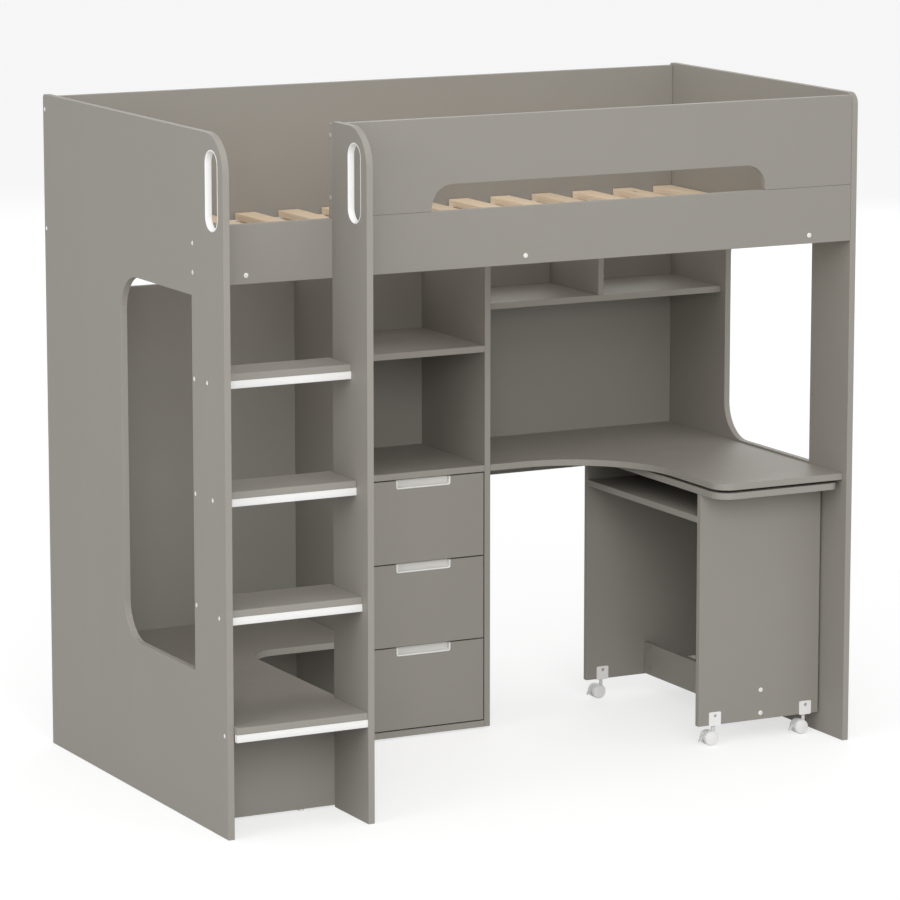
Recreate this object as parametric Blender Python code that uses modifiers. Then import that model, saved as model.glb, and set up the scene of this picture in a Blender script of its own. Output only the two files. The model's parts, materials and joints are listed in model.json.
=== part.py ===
"""Loft bed with desk: a raised single bed on panel ends, with a ladder and a corner platform below its
entry, a chest with three drawers, a curved desktop under a hutch and a second desk that rolls out on
casters. Metres, +Z up. The origin is on the floor under the middle of the outer box. +X runs along
the bed from the ladder end to the desk end, and the open front faces -Y."""

import math

import bmesh
import bpy
from mathutils import Vector

# Overall size and board stock
LENGTH = 1.950
DEPTH = 1.170
HEIGHT = 1.780
BOARD = 0.018
GAP = 0.0003
HALF_GAP = GAP / 2
EDGE_BREAK = 0.0008
ARC_STEPS = 12

# Outer faces and the faces that the boards between the ends stop at
LEFT = -LENGTH / 2
RIGHT = LENGTH / 2
FRONT = -DEPTH / 2
REAR = DEPTH / 2
LEFT_IN = LEFT + BOARD + HALF_GAP
RIGHT_IN = RIGHT - BOARD - HALF_GAP
REAR_IN = REAR - BOARD - HALF_GAP

# Bed
LEFT_END_FRONT = FRONT + 0.020
RAIL_FRONT = FRONT + 0.197
RAIL_IN = RAIL_FRONT + BOARD
RAIL_BOTTOM = 1.382
RAIL_TOP = 1.534
GUARD_TOP = HEIGHT - 0.006
LEG_WIDTH = 0.194
WINDOW_TOP = 1.362
WINDOW_RADIUS = 0.100
LEFT_WINDOW_REAR = LEFT_END_FRONT + 0.642
LEFT_WINDOW_BOTTOM = 0.400
RIGHT_WINDOW_REAR = REAR - 0.323
GUARD_OPENING = (LEFT + 0.668, LEFT + 1.664)
GUARD_OPENING_TOP = RAIL_TOP + 0.068
LEDGER = 0.027
LEDGER_HEIGHT = 0.0285
SLAT_COUNT = 15
SLAT_WIDTH = 0.060
SLAT_THICK = 0.018
SLAT_FIRST = LEFT + 0.024
SLAT_LAST = RIGHT - 0.0813
WEBBING_WIDTH = 0.025
WEBBING_THICK = 0.0012
WEBBING_BITE = 0.0006
WEBBING_INSET = 0.0145
SLAT_BOTTOM = RAIL_BOTTOM + LEDGER_HEIGHT + WEBBING_THICK + GAP

# Ladder and platform
STILE_LEFT = LEFT + 0.3835
STILE_RIGHT = STILE_LEFT + BOARD
TOP_RADIUS = 0.100
GRIP_CENTRE = 0.070
GRIP_WIDTH = 0.076
GRIP_BOTTOM = 1.5345
GRIP_TOP = 1.7395
GRIP_WALL = 0.0035
TREAD_TOPS = (1.176, 0.882, 0.587)
TREAD_FRONTS = (0.071, 0.043, 0.012)
STEP_BOARD_TOP = 0.292
STEP_BOARD_FRONT = LEFT_END_FRONT - 0.0185
STRIP_HEIGHT = 0.020
STRIP_DEPTH = 0.015
STRIP_PROUD = 0.001
PLATFORM_EDGE = STILE_LEFT + 0.011
PLATFORM_RADIUS = 0.090
KICK_BOTTOM = 0.005

# Seats for the flush bolt heads, as (distance behind the end panel's front line, height)
SEAT_RADIUS = 0.0070
SEAT_DEPTH = 0.0024
LEFT_SEATS = (
    (1.140, 1.740),
    (1.140, 1.420),
    (0.188, 1.494),
    (0.188, 1.420),
    (0.184, 1.151),
    (0.184, 0.858),
    (0.184, 0.571),
    (0.106, 1.152),
    (0.079, 0.858),
    (0.046, 0.563),
    (0.020, 0.266),
)
RIGHT_SEATS = (
    (1.140, 1.740),
    (1.140, 1.420),
    (0.188, 1.710),
    (0.188, 1.494),
    (0.188, 1.420),
    (0.300, 0.733),
    (1.050, 0.733),
    (0.900, 1.164),
    (1.085, 1.164),
    (1.140, 1.050),
)

# Chest and hutch
CHEST_LEFT = LEFT + 0.730
CHEST_RIGHT = LEFT + 1.143
CHEST_FRONT = REAR - 0.398
CHEST_FOOT = 0.005
BACK_TOP = 1.247
DESK_BACK_BOTTOM = 0.633
NICHE_SHELF_TOP = 1.074
DESK_TOP = 0.7424
HUTCH_FRONT = REAR - 0.298
HUTCH_SHELF_TOP = 1.173
DIVIDER_LEFT = LEFT + 1.535

# Drawers, counted from the top
DRAWER_COUNT = 3
DRAWER_GAP = 0.003
DRAWER_BOX_DEPTH = 0.335
DRAWER_BOX_HEIGHT = 0.160
DRAWER_BOX_LIFT = 0.018
DRAWER_WALL = 0.012
RUNNER_SPACE = 0.0127
PULL_WIDTH = 0.166
PULL_HEIGHT = 0.024
PULL_DEPTH = 0.0125
PULL_RIM = 0.003
PULL_CORNER = 0.006

# Fixed desktop
DESK_FRONT = FRONT + 0.217
DESK_LEFT = LEFT + 1.545
DESK_CORNER = 0.050
DESK_SWEEP = 0.300

# Rolling desk
ROLL_TOP = 0.717
ROLL_TOP_RIGHT = LEFT + 1.921
ROLL_TOP_CORNER = 0.025
ROLL_RIGHT = LEFT + 1.927
ROLL_FRONT = FRONT + 0.318
ROLL_REAR = FRONT + 0.963
ROLL_FOOT = 0.055
ROLL_SHELF_TOP = 0.637
STRETCHER_X = LEFT + 1.733
STRETCHER_TOP = 0.149
STRETCHER_BOTTOM = 0.0575

# Casters
CASTER_INSET = (0.0515, 0.042)
SADDLE_WIDTH = 0.038
SADDLE_HEIGHT = 0.037
SADDLE_THICK = 0.0016
STEM_RADIUS = 0.0032
STEM_DROP = 0.010
NECK_RADIUS = 0.0050
NECK_BOTTOM = 0.030
NECK_GAP = 0.0010
WHEEL_RADIUS = 0.020
WHEEL_WIDTH = 0.0125
WHEEL_GAP = 0.0112
WHEEL_TRAIL = 0.013
AXLE_RADIUS = 0.0026
HOOD_RADIUS = 0.0205
HOOD_THICK = 0.0084
LEVER_THICK = 0.0080
LEVER_RADIUS = 0.0022
LEVER_HINGE = (-0.0226, 0.0040)
LEVER_TIP = (-0.0300, -0.0070)


def material(name, colour, roughness, metallic=0.0):
    """A Principled material of one colour."""
    made = bpy.data.materials.new(name)
    made.use_nodes = True
    shader = made.node_tree.nodes["Principled BSDF"]
    shader.inputs["Base Color"].default_value = (*colour, 1.0)
    shader.inputs["Roughness"].default_value = roughness
    shader.inputs["Metallic"].default_value = metallic
    made.diffuse_color = (*colour, 1.0)
    return made


def clear_scene():
    """Removes what the startup scene holds."""
    for thing in list(bpy.data.objects):
        bpy.data.objects.remove(thing)


def new_collection(name):
    made = bpy.data.collections.new(name)
    bpy.context.scene.collection.children.link(made)
    return made


def fillet(before, corner, after, radius):
    """The points that round a corner of an outline, or the corner itself where the radius is 0."""
    corner = Vector(corner)
    if radius == 0:
        return [tuple(corner)]
    back = (Vector(before) - corner).normalized()
    ahead = (Vector(after) - corner).normalized()
    half = back.angle(ahead) / 2
    centre = corner + (back + ahead).normalized() * (radius / math.sin(half))
    first = corner + back * (radius / math.tan(half)) - centre
    turn = first.angle_signed(corner + ahead * (radius / math.tan(half)) - centre)
    points = []
    for step in range(ARC_STEPS + 1):
        angle = -turn * step / ARC_STEPS
        across = first.x * math.cos(angle) - first.y * math.sin(angle)
        up = first.x * math.sin(angle) + first.y * math.cos(angle)
        points.append((centre.x + across, centre.y + up))
    return points


def outline(corners):
    """A closed outline through (u, v, radius) corners."""
    points = []
    for index, (u, v, radius) in enumerate(corners):
        before = corners[index - 1][:2]
        after = corners[(index + 1) % len(corners)][:2]
        points += fillet(before, (u, v), after, radius)
    return points


def slot(u, v, radius):
    """The outline of a slot between the ranges u and v, with its corners rounded by the radius."""
    return outline([(u[0], v[0], radius), (u[1], v[0], radius), (u[1], v[1], radius), (u[0], v[1], radius)])


def as_mesh(thing):
    """The mesh object that replaces a curve, with its caps joined to its sides."""
    graph = bpy.context.evaluated_depsgraph_get()
    mesh = bpy.data.meshes.new_from_object(thing.evaluated_get(graph))
    made = bpy.data.objects.new(thing.name, mesh)
    made.matrix_world = thing.matrix_world
    work = bmesh.new()
    work.from_mesh(mesh)
    bmesh.ops.remove_doubles(work, verts=work.verts, dist=1e-5)
    bmesh.ops.dissolve_limit(work, angle_limit=0.001, verts=work.verts, edges=work.edges)
    bmesh.ops.recalc_face_normals(work, faces=work.faces)
    work.to_mesh(mesh)
    work.free()
    name = thing.name
    bpy.data.objects.remove(thing)
    made.name = name
    return made


def finish(thing, finish_material, where, width=EDGE_BREAK):
    """Puts a piece in its collection, gives it a material and breaks its sharp edges."""
    for holder in list(thing.users_collection):
        holder.objects.unlink(thing)
    where.objects.link(thing)
    thing.data.materials.clear()
    thing.data.materials.append(finish_material)
    if width:
        edge = thing.modifiers.new("edge_break", "BEVEL")
        edge.width = width
        edge.segments = 1
        edge.limit_method = "ANGLE"
        edge.angle_limit = math.radians(50)
    return thing


def sheet(name, plane, outlines, faces, finish_material, where, width=EDGE_BREAK):
    """A board cut to outlines in the plane XY, XZ or YZ, the outer one first and then its openings.

    faces gives its two broad faces along the third axis, and the board stops half a gap inside them."""
    curve = bpy.data.curves.new(name, "CURVE")
    curve.dimensions = "2D"
    curve.fill_mode = "BOTH"
    curve.extrude = (faces[1] - faces[0]) / 2 - HALF_GAP
    for points in outlines:
        spline = curve.splines.new("POLY")
        spline.points.add(len(points) - 1)
        for point, (u, v) in zip(spline.points, points):
            point.co = (u, v, 0, 1)
        spline.use_cyclic_u = True
    thing = bpy.data.objects.new(name, curve)
    bpy.context.scene.collection.objects.link(thing)
    middle = (faces[0] + faces[1]) / 2
    quarter = math.pi / 2
    turned = {"XY": (0, 0, 0), "XZ": (quarter, 0, 0), "YZ": (quarter, 0, quarter)}
    moved = {"XY": (0, 0, middle), "XZ": (0, middle, 0), "YZ": (middle, 0, 0)}
    thing.rotation_euler = turned[plane]
    thing.location = moved[plane]
    bpy.context.view_layer.update()
    return finish(as_mesh(thing), finish_material, where, width)


def box(name, x, y, z, finish_material, where, width=EDGE_BREAK):
    """A board between the faces x, y and z, half a gap inside each of them but the floor."""
    bottom = z[0] + HALF_GAP if z[0] > 0 else z[0]
    low = Vector((x[0] + HALF_GAP, y[0] + HALF_GAP, bottom))
    high = Vector((x[1] - HALF_GAP, y[1] - HALF_GAP, z[1] - HALF_GAP))
    bpy.ops.mesh.primitive_cube_add(size=1, location=(low + high) / 2)
    thing = bpy.context.object
    thing.name = name
    thing.scale = high - low
    bpy.ops.object.transform_apply(location=False, rotation=False, scale=True)
    return finish(thing, finish_material, where, width)


def cylinder(name, radius, length, centre, axis, finish_material, where, sides=32, width=0):
    """A cylinder along X, Y or Z."""
    turned = {"X": (0, math.pi / 2, 0), "Y": (math.pi / 2, 0, 0), "Z": (0, 0, 0)}[axis]
    bpy.ops.mesh.primitive_cylinder_add(
        vertices=sides, radius=radius, depth=length, location=centre, rotation=turned
    )
    thing = bpy.context.object
    thing.name = name
    thing.data.shade_smooth()
    thing.data.set_sharp_from_angle(angle=math.radians(35))
    return finish(thing, finish_material, where, width)


def boolean(thing, other, operation):
    """Joins or cuts a piece with another object, after any break of its edges."""
    change = thing.modifiers.new(operation.lower(), "BOOLEAN")
    change.operation = operation
    change.solver = "EXACT"
    change.object = other
    other.hide_render = True
    other.display_type = "WIRE"


def hang(things, holder):
    """Parents pieces to an empty without moving them."""
    bpy.context.view_layer.update()
    for thing in things:
        thing.parent = holder
        thing.matrix_parent_inverse = holder.matrix_world.inverted()


def pivot(name, place, where, holder=None):
    """An empty on a joint's axis."""
    made = bpy.data.objects.new(name, None)
    made.empty_display_size = 0.05
    made.location = place
    where.objects.link(made)
    if holder:
        hang([made], holder)
    return made


def grip_outline(front, shrink=0.0):
    """The slot of a hand grip behind a board's front edge, shrunk all round."""
    centre = front + GRIP_CENTRE
    half = GRIP_WIDTH / 2 - shrink
    across = (centre - half, centre + half)
    return slot(across, (GRIP_BOTTOM + shrink, GRIP_TOP - shrink), half * 0.98)


def window(front, rear, bottom):
    """The opening in an end panel: square in front, rounded behind."""
    return outline(
        [
            (front, bottom, 0),
            (rear, bottom, WINDOW_RADIUS),
            (rear, WINDOW_TOP, WINDOW_RADIUS),
            (front, WINDOW_TOP, 0),
        ]
    )


def seat_bolts(panel, face, seats, paint):
    """Sinks a round seat for each bolt head into an end panel's outer face."""
    cutters = bpy.data.collections["construction"]
    for number, (behind, height) in enumerate(seats, 1):
        centre = (face, LEFT_END_FRONT + behind, height)
        name = f"{panel.name}_seat_{number}"
        cutter = cylinder(name, SEAT_RADIUS, 2 * SEAT_DEPTH, centre, "X", paint, cutters, 24)
        boolean(panel, cutter, "DIFFERENCE")


def make_ends(paint, white, where):
    """The two end panels, the ladder's stile and the liners of its hand grips."""
    left = outline(
        [
            (LEFT_END_FRONT, 0, 0),
            (REAR, 0, 0),
            (REAR, HEIGHT, 0.010),
            (LEFT_END_FRONT, HEIGHT, TOP_RADIUS),
        ]
    )
    left_window = window(LEFT_END_FRONT + LEG_WIDTH, LEFT_WINDOW_REAR, LEFT_WINDOW_BOTTOM)
    grip = grip_outline(LEFT_END_FRONT)
    faces = (LEFT, LEFT + BOARD)
    panel = sheet("left_end_panel", "YZ", [left, left_window, grip], faces, paint, where)
    seat_bolts(panel, LEFT + HALF_GAP, LEFT_SEATS, paint)

    right = outline(
        [(RAIL_FRONT, 0, 0), (REAR, 0, 0), (REAR, HEIGHT, 0.010), (RAIL_FRONT, HEIGHT, 0.030)]
    )
    right_window = window(RAIL_FRONT + LEG_WIDTH, RIGHT_WINDOW_REAR, DESK_TOP + 0.005)
    faces = (RIGHT - BOARD, RIGHT)
    panel = sheet("right_end_panel", "YZ", [right, right_window], faces, paint, where)
    seat_bolts(panel, RIGHT - HALF_GAP, RIGHT_SEATS, paint)

    stile = outline(
        [
            (FRONT, 0, 0),
            (RAIL_FRONT - GAP, 0, 0),
            (RAIL_FRONT - GAP, HEIGHT, 0.004),
            (FRONT, HEIGHT, TOP_RADIUS),
        ]
    )
    grip = grip_outline(FRONT)
    sheet("ladder_stile", "YZ", [stile, grip], (STILE_LEFT, STILE_RIGHT), paint, where)

    for name, front, side in (("grip_liner_left", LEFT_END_FRONT, LEFT), ("grip_liner_right", FRONT, STILE_LEFT)):
        ring = [grip_outline(front, GAP), grip_outline(front, GRIP_WALL)]
        sheet(name, "YZ", ring, (side, side + BOARD), white, where, 0)


def make_bed(paint, pine, where):
    """The rails, the guard above the front rail, the ledgers and the slats on them."""
    inside = (LEFT_IN, RIGHT_IN)
    box("front_rail", inside, (RAIL_FRONT, RAIL_IN), (RAIL_BOTTOM, RAIL_TOP), paint, where)
    box("rear_rail", inside, (REAR - BOARD, REAR), (RAIL_BOTTOM, GUARD_TOP), paint, where)
    low, high = GUARD_OPENING
    seam = RAIL_TOP + GAP
    guard = outline(
        [
            (STILE_LEFT, seam, 0),
            (low, seam, 0),
            (low, GUARD_OPENING_TOP, 0.060),
            (high, GUARD_OPENING_TOP, 0.060),
            (high, seam, 0),
            (RIGHT_IN - GAP, seam, 0),
            (RIGHT_IN - GAP, GUARD_TOP, 0),
            (STILE_LEFT, GUARD_TOP, 0),
        ]
    )
    sheet("front_guard", "XZ", [guard], (RAIL_FRONT, RAIL_IN), paint, where)

    ledger = (RAIL_BOTTOM + GAP, RAIL_BOTTOM + LEDGER_HEIGHT)
    box("front_ledger", inside, (RAIL_IN, RAIL_IN + LEDGER), ledger, pine, where)
    box("rear_ledger", inside, (REAR_IN - LEDGER, REAR_IN), ledger, pine, where)
    make_slats(pine, where)


def make_slats(pine, where):
    """The roll-out slatted base: slats joined by two webbing tapes under their ends."""
    cutters = bpy.data.collections["construction"]
    low = RAIL_IN + 0.002
    high = REAR_IN - 0.002
    pitch = (SLAT_LAST - SLAT_FIRST) / (SLAT_COUNT - 1)
    level = (SLAT_BOTTOM, SLAT_BOTTOM + SLAT_THICK)
    base = None
    for index in range(SLAT_COUNT):
        left = SLAT_FIRST + index * pitch
        name = "slat_base" if index == 0 else f"slat_{index + 1}"
        holder = where if index == 0 else cutters
        slat = box(name, (left, left + SLAT_WIDTH), (low, high), level, pine, holder, 0)
        base = base or slat
        if slat is not base:
            boolean(base, slat, "UNION")
    for side, centre in (("front", low + WEBBING_INSET), ("rear", high - WEBBING_INSET)):
        across = (centre - WEBBING_WIDTH / 2, centre + WEBBING_WIDTH / 2)
        along = (SLAT_FIRST + SLAT_WIDTH / 2, SLAT_LAST + SLAT_WIDTH / 2)
        thick = (SLAT_BOTTOM - WEBBING_THICK, SLAT_BOTTOM + WEBBING_BITE)
        tape = box(f"{side}_webbing", along, across, thick, pine, cutters, 0)
        boolean(base, tape, "UNION")


def make_ladder(paint, white, where):
    """The treads between the end panel and the stile, the platform that is the lowest step, and its kickboard."""
    across = (LEFT_IN, STILE_LEFT - HALF_GAP)
    for number, (top, front) in enumerate(zip(TREAD_TOPS, TREAD_FRONTS), 1):
        start = LEFT_END_FRONT + front
        box(f"tread_{number}", across, (start, RAIL_IN), (top - BOARD, top), paint, where)
    tops = [*TREAD_TOPS, STEP_BOARD_TOP]
    fronts = [LEFT_END_FRONT + front for front in TREAD_FRONTS] + [STEP_BOARD_FRONT]
    for number, (top, front) in enumerate(zip(tops, fronts), 1):
        under = top - BOARD
        strip = (front - STRIP_PROUD, front - STRIP_PROUD + STRIP_DEPTH)
        box(f"tread_strip_{number}", across, strip, (under - STRIP_HEIGHT, under), white, where, 0.0005)

    side = STILE_LEFT - GAP
    inner = CHEST_LEFT - GAP
    platform = outline(
        [
            (LEFT_IN + HALF_GAP, STEP_BOARD_FRONT, 0),
            (side, STEP_BOARD_FRONT, 0),
            (side, RAIL_FRONT + GAP, 0),
            (PLATFORM_EDGE, RAIL_FRONT + GAP, 0),
            (PLATFORM_EDGE, CHEST_FRONT, PLATFORM_RADIUS),
            (inner, CHEST_FRONT, 0),
            (inner, REAR_IN - HALF_GAP, 0),
            (LEFT_IN + HALF_GAP, REAR_IN - HALF_GAP, 0),
        ]
    )
    level = (STEP_BOARD_TOP - BOARD, STEP_BOARD_TOP)
    sheet("corner_platform", "XY", [platform], level, paint, where)
    upright = (KICK_BOTTOM, STEP_BOARD_TOP - BOARD)
    box("kickboard", (LEFT_IN, STILE_RIGHT), (RAIL_FRONT, RAIL_IN), upright, paint, where)


def make_chest(paint, where):
    """The back panels, the chest's sides, shelf, top and bottom, and the hutch over the desktop."""
    back = (REAR - BOARD, REAR)
    split = CHEST_RIGHT - BOARD / 2
    box("lower_back_panel", (LEFT_IN, split), back, (CHEST_FOOT, BACK_TOP), paint, where)
    box("desk_back_panel", (split, RIGHT_IN), back, (DESK_BACK_BOTTOM, BACK_TOP), paint, where)

    deep = (CHEST_FRONT, REAR_IN)
    tall = (CHEST_FOOT, RAIL_BOTTOM)
    box("chest_left_side", (CHEST_LEFT, CHEST_LEFT + BOARD), deep, tall, paint, where)
    box("chest_right_side", (CHEST_RIGHT - BOARD, CHEST_RIGHT), deep, tall, paint, where)
    inside = (CHEST_LEFT + BOARD, CHEST_RIGHT - BOARD)
    box("chest_shelf", inside, deep, (NICHE_SHELF_TOP - BOARD, NICHE_SHELF_TOP), paint, where)
    box("chest_top", inside, deep, (DESK_TOP - BOARD, DESK_TOP), paint, where)
    box("chest_bottom", inside, deep, (CHEST_FOOT, CHEST_FOOT + BOARD), paint, where)

    hutch = (HUTCH_FRONT, REAR_IN)
    level = (HUTCH_SHELF_TOP - BOARD, HUTCH_SHELF_TOP)
    box("hutch_shelf", (CHEST_RIGHT, RIGHT_IN), hutch, level, paint, where)
    upright = (HUTCH_SHELF_TOP, RAIL_BOTTOM)
    box("hutch_divider", (DIVIDER_LEFT, DIVIDER_LEFT + BOARD), hutch, upright, paint, where)


def make_desktop(paint, where):
    """The desktop, shallow beside the chest and sweeping forward to the desk end."""
    left = CHEST_RIGHT + GAP
    right = RIGHT_IN - HALF_GAP
    top = outline(
        [
            (left, REAR_IN - HALF_GAP, 0),
            (left, CHEST_FRONT, 0),
            (DESK_LEFT, CHEST_FRONT, DESK_SWEEP),
            (DESK_LEFT, DESK_FRONT, DESK_CORNER),
            (right, DESK_FRONT, 0),
            (right, REAR_IN - HALF_GAP, 0),
        ]
    )
    sheet("desktop", "XY", [top], (DESK_TOP - BOARD, DESK_TOP), paint, where)


def make_drawers(paint, lining, white, where):
    """Three drawers: an inset front with a moulded pull let into its top edge, and a box behind it."""
    cutters = bpy.data.collections["construction"]
    floor = CHEST_FOOT + BOARD
    clear = DESK_TOP - BOARD - floor
    height = (clear - (DRAWER_COUNT + 1) * DRAWER_GAP) / DRAWER_COUNT
    left = CHEST_LEFT + BOARD + DRAWER_GAP
    right = CHEST_RIGHT - BOARD - DRAWER_GAP
    centre = (left + right) / 2
    behind = CHEST_FRONT + BOARD
    for number in range(1, DRAWER_COUNT + 1):
        top = DESK_TOP - BOARD - DRAWER_GAP - (number - 1) * (height + DRAWER_GAP)
        bottom = top - height
        slide = pivot(f"drawer_{number}_slide", (centre, CHEST_FRONT, bottom), where)

        half = PULL_WIDTH / 2
        front = box(
            f"drawer_front_{number}", (left, right), (CHEST_FRONT, behind), (bottom, top), paint, where
        )
        recess = slot(
            (centre - half - GAP, centre + half + GAP), (top - PULL_HEIGHT - GAP, top + 0.030), PULL_CORNER
        )
        cutter = sheet(
            f"pull_recess_{number}",
            "XZ",
            [recess],
            (CHEST_FRONT - 0.010, CHEST_FRONT + PULL_DEPTH + GAP),
            paint,
            cutters,
            0,
        )
        boolean(front, cutter, "DIFFERENCE")

        cup = outline(
            [
                (centre - half, top - HALF_GAP, 0),
                (centre - half, top - PULL_HEIGHT, PULL_CORNER),
                (centre + half, top - PULL_HEIGHT, PULL_CORNER),
                (centre + half, top - HALF_GAP, 0),
            ]
        )
        proud = CHEST_FRONT - 0.0005
        pull = sheet(
            f"drawer_pull_{number}", "XZ", [cup], (proud, CHEST_FRONT + PULL_DEPTH), white, where, 0
        )
        inner = half - PULL_RIM
        hollow = slot(
            (centre - inner, centre + inner), (top - PULL_HEIGHT + PULL_RIM, top + 0.030), PULL_RIM
        )
        cutter = sheet(
            f"pull_hollow_{number}",
            "XZ",
            [hollow],
            (CHEST_FRONT - 0.010, CHEST_FRONT + PULL_DEPTH - 0.002),
            white,
            cutters,
            0,
        )
        boolean(pull, cutter, "DIFFERENCE")

        sides = (CHEST_LEFT + BOARD + RUNNER_SPACE, CHEST_RIGHT - BOARD - RUNNER_SPACE)
        low = bottom + DRAWER_BOX_LIFT
        tray = box(
            f"drawer_box_{number}",
            sides,
            (behind, behind + DRAWER_BOX_DEPTH),
            (low, low + DRAWER_BOX_HEIGHT),
            lining,
            where,
            0,
        )
        cutter = box(
            f"box_hollow_{number}",
            (sides[0] + DRAWER_WALL, sides[1] - DRAWER_WALL),
            (behind + DRAWER_WALL, behind + DRAWER_BOX_DEPTH - DRAWER_WALL),
            (low + 0.010, low + DRAWER_BOX_HEIGHT + 0.050),
            lining,
            cutters,
            0,
        )
        boolean(tray, cutter, "DIFFERENCE")
        hang([front, pull, tray], slide)


def make_rolling_desk(paint, white, grey, where):
    """The second desk, which rolls out from under the fixed desktop."""
    holder = pivot("rolling_desk_slide", ((DESK_LEFT + ROLL_RIGHT) / 2, ROLL_FRONT, 0), where)
    top = outline(
        [
            (DESK_LEFT, ROLL_REAR, 0),
            (DESK_LEFT, DESK_FRONT, DESK_CORNER),
            (ROLL_TOP_RIGHT, DESK_FRONT, ROLL_TOP_CORNER),
            (ROLL_TOP_RIGHT, ROLL_REAR, 0),
        ]
    )
    under = ROLL_TOP - BOARD
    across = (DESK_LEFT, ROLL_RIGHT)
    between = (ROLL_FRONT + BOARD, ROLL_REAR - BOARD)
    level = (ROLL_SHELF_TOP - BOARD, ROLL_SHELF_TOP)
    upright = (ROLL_FOOT, under)
    front = (ROLL_FRONT, ROLL_FRONT + BOARD)
    rear = (ROLL_REAR - BOARD, ROLL_REAR)
    rail = (STRETCHER_X, STRETCHER_X + BOARD)
    pieces = [
        sheet("rolling_desk_top", "XY", [top], (under, ROLL_TOP), paint, where),
        box("rolling_desk_front", across, front, upright, paint, where),
        box("rolling_desk_rear", across, rear, upright, paint, where),
        box("rolling_desk_shelf", across, between, level, paint, where),
        box("rolling_desk_stretcher", rail, between, (STRETCHER_BOTTOM, STRETCHER_TOP), paint, where),
    ]
    hang(pieces, holder)
    number = 0
    for middle in (ROLL_FRONT + BOARD / 2, ROLL_REAR - BOARD / 2):
        for stem in (DESK_LEFT + CASTER_INSET[0], ROLL_RIGHT - CASTER_INSET[1]):
            number += 1
            make_caster(number, stem, middle, holder, white, grey, where)


def capsule(start, end, radius):
    """The outline of a bar with round ends between two points."""
    start = Vector(start)
    end = Vector(end)
    heading = math.atan2(end.y - start.y, end.x - start.x)
    points = []
    for centre, first in ((end, heading - math.pi / 2), (start, heading + math.pi / 2)):
        for step in range(9):
            angle = first + math.pi * step / 8
            points.append((centre.x + radius * math.cos(angle), centre.y + radius * math.sin(angle)))
    return points


def make_caster(number, x, y, holder, white, grey, where):
    """A twin-wheel caster: a saddle round the panel's foot, a hooded yoke that swivels under it, the
    wheels on their axle and a brake lever behind them. x and y place the stem's axis."""
    cutters = bpy.data.collections["construction"]
    half = SADDLE_WIDTH / 2
    outer = BOARD / 2 + SADDLE_THICK + GAP
    foot = ROLL_FOOT - SADDLE_THICK
    saddle = box(
        f"caster_saddle_{number}",
        (x - half, x + half),
        (y - outer, y + outer),
        (foot, foot + SADDLE_HEIGHT + SADDLE_THICK),
        white,
        where,
        0,
    )
    notch = box(
        f"saddle_notch_{number}",
        (x - half - 0.01, x + half + 0.01),
        (y - BOARD / 2 - GAP, y + BOARD / 2 + GAP),
        (ROLL_FOOT - GAP, foot + SADDLE_HEIGHT + 0.02),
        white,
        cutters,
        0,
    )
    boolean(saddle, notch, "DIFFERENCE")
    shank_at = (x, y, foot - STEM_DROP / 2 + 0.0005)
    shank = cylinder(
        f"saddle_stem_{number}", STEM_RADIUS, STEM_DROP + 0.001, shank_at, "Z", white, cutters, 20
    )
    boolean(saddle, shank, "UNION")
    swivel = pivot(f"caster_swivel_{number}", (x, y, foot), where, holder)
    hang([saddle], holder)

    axle = (x - WHEEL_TRAIL, y, WHEEL_RADIUS)
    yoke = cylinder(f"caster_yoke_{number}", HOOD_RADIUS, HOOD_THICK, axle, "Y", grey, where, 48)
    below = box(
        f"yoke_opening_{number}",
        (axle[0] - 0.03, axle[0] + 0.03),
        (y - 0.02, y + 0.02),
        (-0.01, axle[2] - AXLE_RADIUS - 0.0022),
        grey,
        cutters,
        0,
    )
    boolean(yoke, below, "DIFFERENCE")
    neck_top = foot - NECK_GAP
    tall = neck_top - NECK_BOTTOM
    neck_at = (x, y, NECK_BOTTOM + tall / 2)
    neck = cylinder(f"yoke_neck_{number}", NECK_RADIUS, tall, neck_at, "Z", grey, cutters, 24)
    boolean(yoke, neck, "UNION")
    socket = cylinder(
        f"yoke_socket_{number}", STEM_RADIUS + GAP, 2 * STEM_DROP + 0.001, (x, y, foot), "Z", grey, cutters, 20
    )
    boolean(yoke, socket, "DIFFERENCE")
    bore = cylinder(f"yoke_bore_{number}", AXLE_RADIUS + GAP, 0.030, axle, "Y", grey, cutters, 20)
    boolean(yoke, bore, "DIFFERENCE")
    hang([yoke], swivel)

    spin = pivot(f"caster_axle_{number}", axle, where, swivel)
    reach = WHEEL_GAP / 2 + WHEEL_WIDTH
    wheels = cylinder(
        f"caster_wheels_{number}", AXLE_RADIUS, 2 * reach - 0.004, axle, "Y", white, where, 20
    )
    for side in (-1, 1):
        offset = side * (WHEEL_GAP + WHEEL_WIDTH) / 2
        disc = cylinder(
            f"wheel_{number}_{'front' if side < 0 else 'rear'}",
            WHEEL_RADIUS,
            WHEEL_WIDTH,
            (axle[0], y + offset, axle[2]),
            "Y",
            white,
            cutters,
            48,
            0.0015,
        )
        boolean(wheels, disc, "UNION")
    hang([wheels], spin)

    hinge_at = (axle[0] + LEVER_HINGE[0], axle[2] + LEVER_HINGE[1])
    tip_at = (axle[0] + LEVER_TIP[0], axle[2] + LEVER_TIP[1])
    hinge = pivot(f"caster_brake_hinge_{number}", (hinge_at[0], y, hinge_at[1]), where, swivel)
    lever = sheet(
        f"caster_brake_{number}",
        "XZ",
        [capsule(hinge_at, tip_at, LEVER_RADIUS)],
        (y - LEVER_THICK / 2, y + LEVER_THICK / 2),
        grey,
        where,
        0,
    )
    hang([lever], hinge)


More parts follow.
